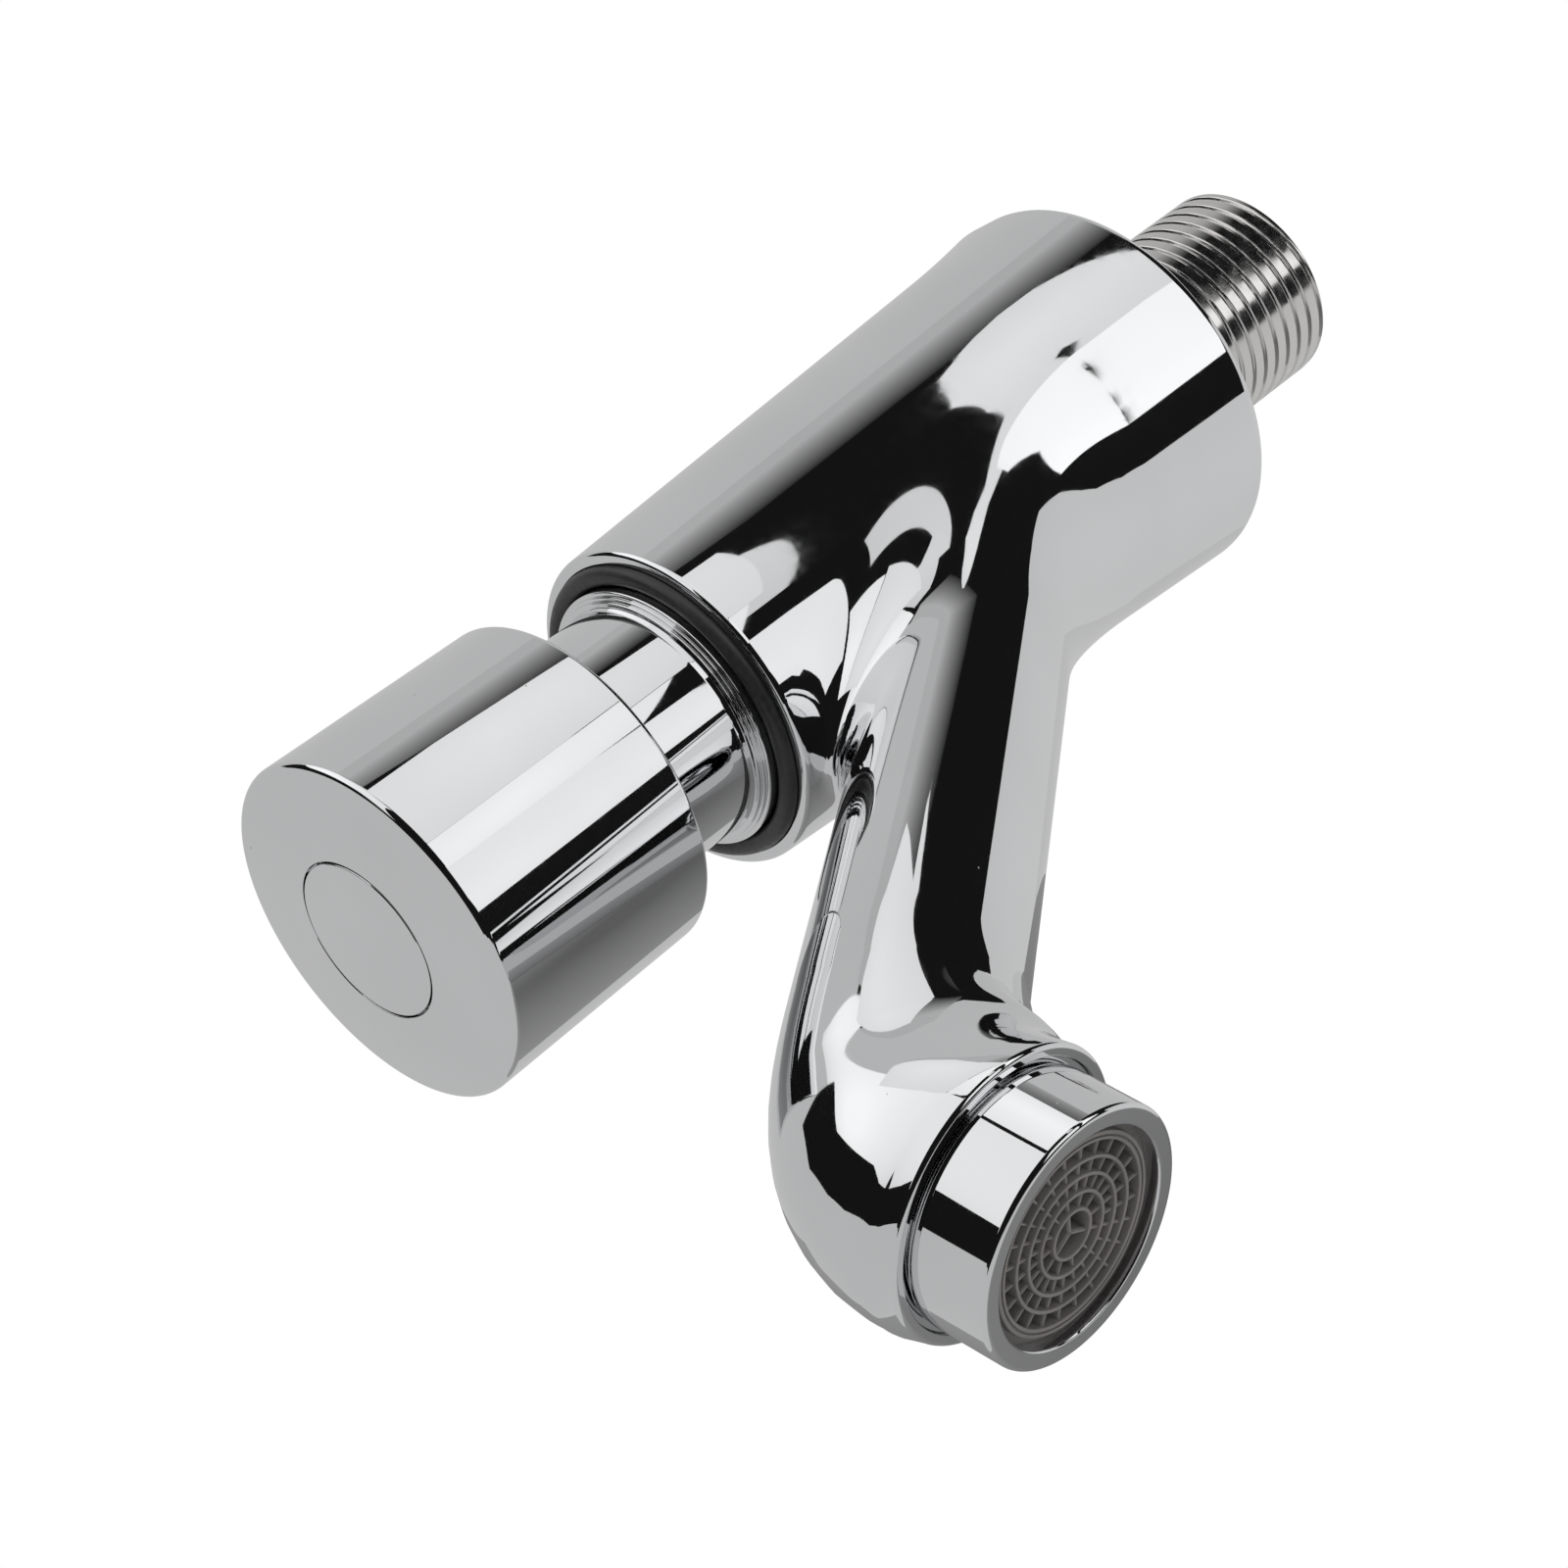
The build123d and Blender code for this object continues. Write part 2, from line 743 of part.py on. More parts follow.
def report_spring_gap(rear, rise):
    """Print the least gap between neighbouring turns of the spring."""
    steps = spring_gap_samples * spring_turns
    points = [spring_point(step / steps, spring_mean_radius, rear, rise)[0] for step in range(steps + 1)]
    least = math.inf
    for index, point in enumerate(points):
        for other in points[index + spring_gap_samples // 2:]:
            least = min(least, (other - point).length - spring_wire)
    print("least gap between spring turns", round(least, 3))


def make_gland_nut():
    """Front plug that guides the stem, with two holes for a pin spanner."""
    gland = tube(gland_radius - slip_gap, stem_radius + run_gap, gland_rear, gland_front)
    gland -= stem_ring_groove((gland_rear + gland_front) / 2)
    for side in (-1, 1):
        gland -= axial_rod(
            gland_hole_radius, gland_front - gland_hole_depth, gland_front + overrun, across=side * gland_hole_circle)
    return gland


def make_button_blank():
    """Solid tapered button with a domed face."""
    taper = (button_front_radius - button_rear_radius) / button_length
    blank = turned([
        (0, button_rear),
        (button_rear_radius, button_rear),
        (button_front_radius + taper * button_crown, button_front + button_crown),
        (0, button_front + button_crown),
    ])
    return blank & Pos(0, -dome_centre, 0) * Rot(90, 0, 0) * Sphere(dome_radius)


def make_push_button():
    """Turned hollow cap with a boss for the stem and a recess for the disc."""
    button = make_button_blank()
    button = fillet(circle_edges(button, button_front, button_front_radius), button_front_round)
    button = fillet(circle_edges(button, button_rear, button_rear_radius), button_rear_round)
    cavity_radius = button_rear_radius - button_wall
    button -= tube(cavity_radius, button_boss_radius, button_rear - overrun, button_inner_face)
    button -= axial_rod(button_boss_radius + overrun, button_rear - overrun, boss_rear)
    button -= axial_rod(stem_radius + slip_gap, boss_rear - overrun, button_inner_face)
    button -= axial_rod(disc_recess_radius, disc_floor(), button_front + button_crown + overrun)
    button -= axial_rod(screw_head_radius + screw_head_play, screw_head_rear(), button_front)
    return button - axial_rod(screw_radius + run_gap, button_inner_face - overrun, button_front)


def make_button_disc():
    """Index disc that lies flush in the button's domed face."""
    radius = disc_recess_radius - disc_gap
    front = button_front + button_crown + overrun
    return make_button_blank() & axial_rod(radius, disc_floor() + disc_seat_gap, front)


def make_button_screw():
    """Socket screw that holds the button on the stem."""
    head_rear = screw_head_rear()
    head_front = head_rear + screw_head_height
    screw = axial_rod(screw_radius, screw_tip(), head_rear)
    screw += axial_rod(screw_head_radius, head_rear, head_front)
    plane = Plane(origin=(0, -head_front + screw_hex_depth, 0), z_dir=(0, -1, 0))
    socket = extrude(plane * RegularPolygon(screw_hex_flats / 2, 6, major_radius=False), screw_hex_depth + overrun)
    return screw - socket


def make_aerator_ring():
    """Chromed ring that screws over the stub, with two spanner notches."""
    top = recess_level - ring_top_gap
    thread_radius = stub_radius + slip_gap
    seat_radius = insert_flange_radius + slip_gap
    ring = lathed([
        (thread_radius, top),
        (ring_radius, top),
        (ring_radius, ring_face_level),
        (ring_lip_radius, ring_face_level),
        (ring_lip_radius, lip_level),
        (seat_radius, lip_level),
        (seat_radius, washer_level),
        (thread_radius, washer_level),
    ])
    rims = [
        edge for edge in ring.edges().filter_by(GeomType.CIRCLE)
        if abs(edge.radius - ring_radius) < slip_gap
    ]
    ring = fillet(rims, ring_edge_round)
    half = notch_height / 2 * (1 + overrun / notch_depth)
    profile = make_face(Polyline(
        (0, notch_depth - ring_radius, notch_level),
        (0, -ring_radius - overrun, notch_level + half),
        (0, -ring_radius - overrun, notch_level - half),
        close=True,
    ))
    groove = extrude(profile, 2 * ring_radius, dir=(1, 0, 0))
    groove = Pos(-ring_radius, 0, 0) * groove
    for index in range(notch_count):
        ring -= Pos(0, -outlet_reach, 0) * Rot(0, 0, 360 * index / notch_count) * groove
    return ring


def make_aerator_washer():
    """Flat seal between the stub and the insert."""
    return lathed([
        (aerator_washer_hole_radius, washer_level),
        (stub_radius, washer_level),
        (stub_radius, stub_level),
        (aerator_washer_hole_radius, stub_level),
    ])


def grille_ring(radius):
    """Flat ring of the outlet grille."""
    half = grille_ring_width / 2
    return Circle(radius + half) - Circle(radius - half)


def grille_ribs(inner_radius, outer_radius, count):
    """Flat radial ribs between two rings of the grille."""
    length = outer_radius - inner_radius
    middle = (inner_radius + outer_radius) / 2
    return [
        Rot(0, 0, 360 * index / count) * Pos(middle, 0, 0) * Rectangle(length, grille_rib_width)
        for index in range(count)
    ]


def make_aerator_insert():
    """Plastic insert: flange, mixing chamber and the ring-and-rib grille."""
    shell = lathed([
        (insert_chamber_radius, insert_face_level + grille_depth),
        (insert_chamber_radius, insert_top_level),
        (insert_rise_radius, insert_top_level),
        (insert_rise_radius, washer_level),
        (insert_flange_radius, washer_level),
        (insert_flange_radius, lip_level),
        (insert_barrel_radius, lip_level),
        (insert_barrel_radius, insert_face_level),
        (grille_ring_radii[-1], insert_face_level),
        (grille_ring_radii[-1], insert_face_level + grille_depth),
    ])
    rings = Sketch() + [grille_ring(radius) for radius in grille_ring_radii]
    ribs = Sketch()
    for index, count in enumerate(grille_rib_counts):
        ribs += grille_ribs(grille_ring_radii[index], grille_ring_radii[index + 1], count)
    for index in range(hub_spoke_count):
        spoke = Rectangle(grille_ring_radii[0], grille_hub_spoke_width)
        ribs += Rot(0, 0, 90 + 360 * index / hub_spoke_count) * Pos(grille_ring_radii[0] / 2, 0, 0) * spoke
    place = Pos(0, -outlet_reach, insert_face_level)
    raised = Pos(0, -outlet_reach, insert_face_level + grille_rib_inset)
    insert = shell + place * extrude(rings, grille_depth)
    return insert + raised * extrude(ribs, grille_depth - grille_rib_inset)


def make_jet_plate():
    """Plate with fine holes on top of the insert."""
    with BuildSketch() as sketch:
        Circle(insert_rise_radius)
        for radius, count in zip(jet_ring_radii, jet_hole_counts):
            with PolarLocations(radius, count):
                RegularPolygon(jet_hole_radius, 6, mode=Mode.SUBTRACT)
    return Pos(0, -outlet_reach, insert_top_level) * extrude(sketch.sketch, jet_plate_thickness)


def make_aerator_screen():
    """Fine screen over the jet plate."""
    face = perforated(insert_rise_radius, screen_rim_width, screen_hole, screen_pitch)
    return Pos(0, -outlet_reach, jet_top_level) * extrude(face, screen_thickness)


def main():
    """Write one STEP file for each piece."""
    nose_ring_station = housing_rear + nose_length / 2
    land_ring_station = gallery_front + land_length / 2
    pieces = {
        "tap_body": make_tap_body(),
        "inlet_nipple": make_inlet_nipple(),
        "inlet_strainer": make_inlet_strainer(),
        "cartridge_housing": make_cartridge_housing(),
        "collar_o_ring": make_collar_o_ring(),
        "nose_o_ring": body_ring(nose_ring_station, nose_bore_radius),
        "land_o_ring": body_ring(land_ring_station, main_bore_radius),
        "valve_seat": make_valve_seat(),
        "stem": make_stem(),
        "valve_holder": make_valve_holder(),
        "seat_washer": tube(washer_radius, stem_tail_radius + slip_gap, washer_rear, seat_station),
        "valve_nut": make_valve_nut(),
        "divider_o_ring": stem_ring(land_ring_station),
        "return_spring": make_return_spring(),
        "piston": make_piston(),
        "cup_seal": make_cup_seal(),
        "bleed_pin": make_bleed_pin(),
        "piston_clip": make_piston_clip(),
        "gland_nut": make_gland_nut(),
        "gland_o_ring": stem_ring((gland_rear + gland_front) / 2),
        "push_button": make_push_button(),
        "button_disc": make_button_disc(),
        "button_screw": make_button_screw(),
        "aerator_ring": make_aerator_ring(),
        "aerator_washer": make_aerator_washer(),
        "aerator_insert": make_aerator_insert(),
        "jet_plate": make_jet_plate(),
        "aerator_screen": make_aerator_screen(),
    }
    os.makedirs("parts", exist_ok=True)
    for name, piece in pieces.items():
        export_step(piece, f"parts/{name}.step")


main()
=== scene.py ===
import json
import math

import bpy
import bmesh
import numpy as np
from bpy.props import FloatProperty, FloatVectorProperty, IntProperty, PointerProperty
from bpy.types import Operator, Panel, PropertyGroup
from mathutils import Matrix, Vector


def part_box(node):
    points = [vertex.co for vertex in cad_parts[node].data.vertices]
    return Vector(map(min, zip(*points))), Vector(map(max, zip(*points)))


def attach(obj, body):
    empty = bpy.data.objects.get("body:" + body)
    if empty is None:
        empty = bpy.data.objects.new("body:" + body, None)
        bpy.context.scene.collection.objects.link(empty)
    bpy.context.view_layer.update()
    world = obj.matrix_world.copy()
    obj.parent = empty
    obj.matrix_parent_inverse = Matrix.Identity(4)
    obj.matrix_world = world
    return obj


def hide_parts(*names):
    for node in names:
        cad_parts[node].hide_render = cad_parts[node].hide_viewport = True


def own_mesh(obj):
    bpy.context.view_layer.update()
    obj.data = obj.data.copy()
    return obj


bl_info = {
    "name": "Push tap dressing",
    "version": (1, 0, 0),
    "blender": (4, 5, 0),
    "location": "View3D > Sidebar > Push tap",
    "description": "Builds the visible pieces, finishes and stage of a push timed tap",
    "category": "Object",
}

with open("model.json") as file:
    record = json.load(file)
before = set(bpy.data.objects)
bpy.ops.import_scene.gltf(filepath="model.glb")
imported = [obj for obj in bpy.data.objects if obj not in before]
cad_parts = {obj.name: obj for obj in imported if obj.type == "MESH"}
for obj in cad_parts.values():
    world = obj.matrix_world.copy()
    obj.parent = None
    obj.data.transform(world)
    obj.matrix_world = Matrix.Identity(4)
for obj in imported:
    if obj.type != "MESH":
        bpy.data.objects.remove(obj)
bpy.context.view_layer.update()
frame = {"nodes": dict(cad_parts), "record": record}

# Working unit of the mesh code: millimetres. A station is a distance in front of the
# wall face along the barrel's axis, a level is a height above that axis.
TO_METRES = 0.001
TINY = 1e-6

# Step of a measured slope, and how near a point has to be to count as on a cut.
PROBE = 1e-3
ON_CUT = 0.05

# Places inside the tap, in millimetres. The first three are shared by the casting and the cartridge.
COLLAR_SEAT = 0.8  # collar's seat behind the front rim
SHOULDER = 47.8  # station of the divider's front face, where the cartridge's wide part starts
GALLERY = 33.2  # station where the outlet gallery starts, in front of the rear land
DIVIDER = 43.2  # station of the divider's rear face, where the outlet gallery ends
CLEARANCE = 0.03  # gap between the collar and the black ring
FLANGE = 1.56  # underside of the insert's flange above the aerator ring's face

CAMERA_PLACE = (0.25269, -0.27454, -0.24013)
CAMERA_RIGHT = (-0.0962, 0.6714, -0.7348)
CAMERA_UP = (0.7663, 0.5211, 0.3758)
CAMERA_BACK = (0.6352, -0.5270, -0.5646)
ROOM_LEVEL = 0.56


def length(name, default, text):
    """Property for a size in metres."""
    return FloatProperty(name=name, default=default, description=text, unit="LENGTH", precision=5)


def colour(name, default, text):
    """Property for a linear colour."""
    return FloatVectorProperty(name=name, default=default, description=text, subtype="COLOR", size=3, min=0, max=1)


class PushTapCasting(PropertyGroup):
    """Sizes of the cast barrel, its arm and its elbow."""

    barrel_length: length("Barrel length", 0.0631, "Wall face to the front rim")
    rear_radius: length("Rear radius", 0.0202, "Barrel at the wall face")
    front_radius: length("Front radius", 0.0167, "Barrel at the front rim")
    rear_round: length("Rear rounding", 0.0023, "Rounding of the wall edge")
    front_round: length("Front rounding", 0.00085, "Rounding of the front rim")
    cross_station: length("Arm crossing", 0.014, "Where the arm's line meets the barrel's axis")
    corner_height: length("Elbow corner height", 0.0128, "Elbow corner above the outlet face")
    root_station: length("Arm root", 0.024, "Where the arm's own shape starts")
    half_width: length("Arm half width", 0.0116, "Half of the arm's width")
    root_half_depth: length("Root half depth", 0.0081, "Half of the arm's depth at the root")
    end_half_depth: length("End half depth", 0.0102, "Half of the arm's depth at the elbow")
    bend_radius: length("Bend radius", 0.018, "Elbow bend on the centre line")
    bulge: length("Elbow bulge", 0.00104, "How far the elbow stands out")
    bulge_skew: FloatProperty(name="Bulge skew", default=1.8, description="Moves the bulge towards the outlet")
    heel: length("Elbow heel", 0.003, "Fill of the elbow's inner side")
    heel_lead: length("Heel lead", 0.0069, "Bend start to the middle of the heel")
    width_swell: FloatProperty(
        name="Width swell", default=0.855, subtype="FACTOR",
        description="Share of the arm where its width starts to swell")
    depth_swell: FloatProperty(
        name="Depth swell", default=0.77, subtype="FACTOR",
        description="Share of the arm where its depth starts to swell")
    outlet_reach: length("Outlet reach", 0.0928, "Wall face to the outlet's axis")
    outlet_drop: length("Outlet drop", 0.06525, "Barrel axis to the outlet face")
    outlet_radius: length("Outlet radius", 0.0135, "Round end of the elbow")
    blend: length("Blend", 0.007, "Softness of the seam between barrel and arm")
    skin_pitch: length("Skin pitch", 0.0006, "Mesh size of the casting's skin")


class PushTapButton(PropertyGroup):
    """Sizes of the button, its disc and the collar behind it."""

    rear_station: length("Rear station", 0.0764, "Rear rim of the button")
    cap_length: length("Length", 0.025, "Rear rim to front rim")
    rear_radius: length("Rear radius", 0.01693, "Button at its rear rim")
    front_radius: length("Front radius", 0.01742, "Button at its front rim")
    crown: length("Crown", 0.00135, "Height of the domed face")
    front_round: length("Front rounding", 0.001, "Rounding of the front rim")
    rear_round: length("Rear rounding", 0.0006, "Rounding of the rear rim")
    disc_radius: length("Disc recess radius", 0.00812, "Recess of the index disc")
    disc_gap: length("Disc gap", 0.0002, "Gap round the index disc")
    disc_thickness: length("Disc thickness", 0.0015, "Thickness of the index disc")
    neck_radius: length("Neck radius", 0.01212, "Bright neck behind the button")
    collar_radius: length("Collar radius", 0.01355, "Stepped collar in the front rim")
    ring_section: length("Ring section", 0.0019, "Black ring round the collar")


class PushTapOutlet(PropertyGroup):
    """Sizes of the aerator."""

    ring_radius: length("Ring radius", 0.01185, "Chromed ring")
    lip_radius: length("Lip radius", 0.00995, "Opening of the chromed ring")
    face_drop: length("Face drop", 0.00791, "Outlet face to the ring's face")
    stub_radius: length("Stub radius", 0.01097, "Stub that carries the ring")
    recess_radius: length("Recess radius", 0.01235, "Groove above the ring")
    notch_depth: length("Notch depth", 0.00055, "Depth of a spanner notch")
    notch_height: length("Notch height", 0.0016, "Height of a spanner notch")
    notch_level: length("Notch level", 0.00316, "Notch above the ring's face")
    grille_recess: length("Grille recess", 0.0008, "Grille above the ring's face")
    grille_depth: length("Grille depth", 0.003, "Depth of the grille")
    rib_width: length("Rib width", 0.0003, "Thickness of a rib")
    bar_width: length("Bar width", 0.00042, "Thickness of a ring of the grille")


class PushTapInlet(PropertyGroup):
    """Sizes of the threaded inlet."""

    radius: length("Radius", 0.0104775, "Crest of the thread")
    stand_out: length("Stand out", 0.0222, "Wall face to the nipple's end")
    pitch: length("Pitch", 0.001814, "Distance between crests")
    depth: length("Depth", 0.0004, "Crest to root")
    chamfer: length("Chamfer", 0.0003, "Chamfer at the nipple's end")
    thread_start: length("Thread start", 0.0083, "Wall face to the first groove")
    bore_radius: length("Bore radius", 0.0074, "Water passage")
    seat_radius: length("Strainer seat radius", 0.0087, "Seat of the strainer")


class PushTapFinish(PropertyGroup):
    """Colours of the finishes."""

    chrome: colour("Chrome", (0.80, 0.805, 0.815), "Bright plate on the casting and turned parts")
    worn_chrome: colour("Worn chrome", (0.70, 0.69, 0.68), "Thin plate on the thread")
    brass: colour("Brass", (0.72, 0.52, 0.26), "Bare turned brass")
    steel: colour("Steel", (0.60, 0.60, 0.61), "Wire, screw and screen")
    rubber: colour("Rubber", (0.018, 0.018, 0.019), "Seal rings and washers")
    grey_plastic: colour("Grey plastic", (0.225, 0.212, 0.205), "Aerator insert")
    white_plastic: colour("White plastic", (0.75, 0.75, 0.73), "Inlet strainer")


class PushTapStage(PropertyGroup):
    """Sizes of the floor and the room, the camera's lens and the facets."""

    floor_level: length("Floor level", -0.95, "Height of the floor")
    floor_size: length("Floor size", 24.0, "Width of the floor")
    room_size: length("Room size", 1.8, "Width of the grey room that reflections see")
    lens: FloatProperty(
        name="Lens", default=101.25, subtype="DISTANCE_CAMERA", description="Focal length in millimetres")
    segments: IntProperty(name="Segments", default=160, description="Facets round a turned piece")


def in_mm(group, *names):
    """Sizes of a group in millimetres."""
    return [getattr(group, name) / TO_METRES for name in names]


# Outlines and turned shapes ---------------------------------------------------------


def make_axis(*rows):
    """Axis as its origin, its direction and the two directions across it."""
    return tuple(np.array(row, float) for row in rows)


BARREL_AXIS = make_axis((0, 0, 0), (0, -1, 0), (1, 0, 0), (0, 0, 1))


def outlet_axis(scene):
    """Axis through the outlet, with levels along +Z."""
    reach = scene.push_tap_casting.outlet_reach / TO_METRES
    return make_axis((0, -reach, 0), (0, 0, 1), (1, 0, 0), (0, 1, 0))


def rounded(corners, closed=False, steps=5):
    """Outline rows (radius, along, normal radius, normal along) from corners (radius, along, rounding)."""
    points = np.array([corner[:2] for corner in corners], float)
    after = np.roll(points, -1, axis=0)
    turn = np.sign(np.sum(points[:, 0] * after[:, 1] - after[:, 0] * points[:, 1]))
    rows = []
    last = len(points) - 1
    for index, point in enumerate(points):
        open_start = not closed and index == 0
        open_end = not closed and index == last
        back = points[index] - points[index - 1] if not open_start else points[1] - points[0]
        ahead = points[(index + 1) % len(points)] - point if not open_end else back
        back_size, ahead_size = np.linalg.norm(back), np.linalg.norm(ahead)
        back, ahead = back / back_size, ahead / ahead_size
        normals = [turn * np.array((side[1], -side[0])) for side in (back, ahead)]
        rounding = corners[index][2] if len(corners[index]) > 2 else 0
        cosine = float(np.clip(np.dot(back, ahead), -1, 1))
        if open_start or open_end or rounding < TINY or cosine > 1 - TINY:
            normal = normals[0] + normals[1]
            rows.append((*point, *(normal / np.linalg.norm(normal))))
            continue
        half = math.acos(cosine) / 2
        reach = min(rounding * math.tan(half), 0.49 * back_size, 0.49 * ahead_size)
        rounding = reach / math.tan(half)
        start = point - back * reach
        bend = math.copysign(1, np.dot(normals[0], ahead))
        centre = start + normals[0] * rounding * bend
        for step in range(steps + 1):
            share = step / steps
            normal = normals[0] * math.sin((1 - share) * 2 * half) + normals[1] * math.sin(share * 2 * half)
            normal = normal / np.linalg.norm(normal)
            rows.append((*(centre - normal * rounding * bend), *normal))
    return rows


def spaced(rows, pitch, low, high):
    """Outline rows with extra rows between two places along the axis."""
    result = []
    for row, after in zip(rows, rows[1:] + rows[:1]):
        result.append(row)
        if min(row[1], after[1]) < low - pitch or max(row[1], after[1]) > high + pitch:
            continue
        gap = math.hypot(after[0] - row[0], after[1] - row[1])
        extra = int(gap / pitch)
        for step in range(1, extra):
            share = step / extra
            result.append(tuple(a + (b - a) * share for a, b in zip(row, after)))
    return result


def ring_round(axis, angles):
    """Unit directions across an axis at angles."""
    return np.outer(np.cos(angles), axis[2]) + np.outer(np.sin(angles), axis[3])


def full_turn(count):
    """Even angles round a full turn."""
    return np.arange(count) * 2 * math.pi / count


def tube_faces(rows, sides, start=0):
    """Quads between rows of points that run round a tube."""
    faces = []
    for row in range(rows - 1):
        low, high = start + row * sides, start + (row + 1) * sides
        for side in range(sides):
            after = (side + 1) % sides
            faces.append((low + side, low + after, high + after, high + side))
    return faces


def lathe(rows, axis, segments, closed=False):
    """Points, faces and normals of an outline turned about an axis."""
    origin, along = axis[:2]
    ring = ring_round(axis, full_turn(segments))
    points, normals, index = [], [], []
    total = 0
    for radius, place, normal_radius, normal_along in rows:
        if radius < TINY:
            points.append(origin + along * place)
            normals.append(along * math.copysign(1, normal_along))
            index.append([total] * segments)
            total += 1
            continue
        points.extend(origin + along * place + ring * radius)
        normals.extend(along * normal_along + ring * normal_radius)
        index.append(list(range(total, total + segments)))
        total += segments
    faces = []
    count = len(rows)
    for row in range(count if closed else count - 1):
        here, there = index[row], index[(row + 1) % count]
        for segment in range(segments):
            after = (segment + 1) % segments
            faces.append(list(dict.fromkeys((here[segment], here[after], there[after], there[segment]))))
    return np.array(points), faces, np.array(normals)


def volume_of(points, faces):
    """Signed volume inside the faces."""
    total = 0.0
    for size in (3, 4):
        group = np.array([face for face in faces if len(face) == size])
        if not len(group):
            continue
        first = points[group[:, 0]]
        for corner in range(1, size - 1):
            crossed = np.cross(points[group[:, corner]], points[group[:, corner + 1]])
            total += np.einsum("ij,ij->", first, crossed) / 6
    return total


def placed(name, data):
    """New object of the scene."""
    thing = bpy.data.objects.new(name, data)
    bpy.context.scene.collection.objects.link(thing)
    return thing


def solid(name, points, faces, normals=None):
    """Object with outward faces and smooth shading, from millimetres."""
    if volume_of(points, faces) < 0:
        faces = [face[::-1] for face in faces]
    mesh = bpy.data.meshes.new(name)
    mesh.from_pydata((points * TO_METRES).tolist(), [], faces)
    mesh.update()
    mesh.shade_smooth()
    if normals is not None:
        mesh.normals_split_custom_set_from_vertices(normals.tolist())
    return placed(name, mesh)


def finish_piece(piece, body, slot, *nodes):
    """Gives a piece the material of its slot and its body, and hides the nodes it stands for."""
    piece.data.materials.clear()
    piece.data.materials.append(get_material(bpy.context.scene, slot))
    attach(piece, body)
    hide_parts(*nodes)


def turned_piece(name, rows, body, slot, node, closed=False):
    """Piece turned about the barrel's axis."""
    segments = bpy.context.scene.push_tap_stage.segments
    finish_piece(solid(name, *lathe(rows, BARREL_AXIS, segments, closed)), body, slot, node)


# Casting ----------------------------------------------------------------------------


def unit(vectors):
    """Rows of vectors at length 1."""
    return vectors / np.linalg.norm(vectors, axis=1)[:, None]


def eased(share):
    """Share from 0 to 1 with a soft start and a soft end."""
    share = np.clip(share, 0, 1)
    return share ** 2 * (3 - 2 * share)


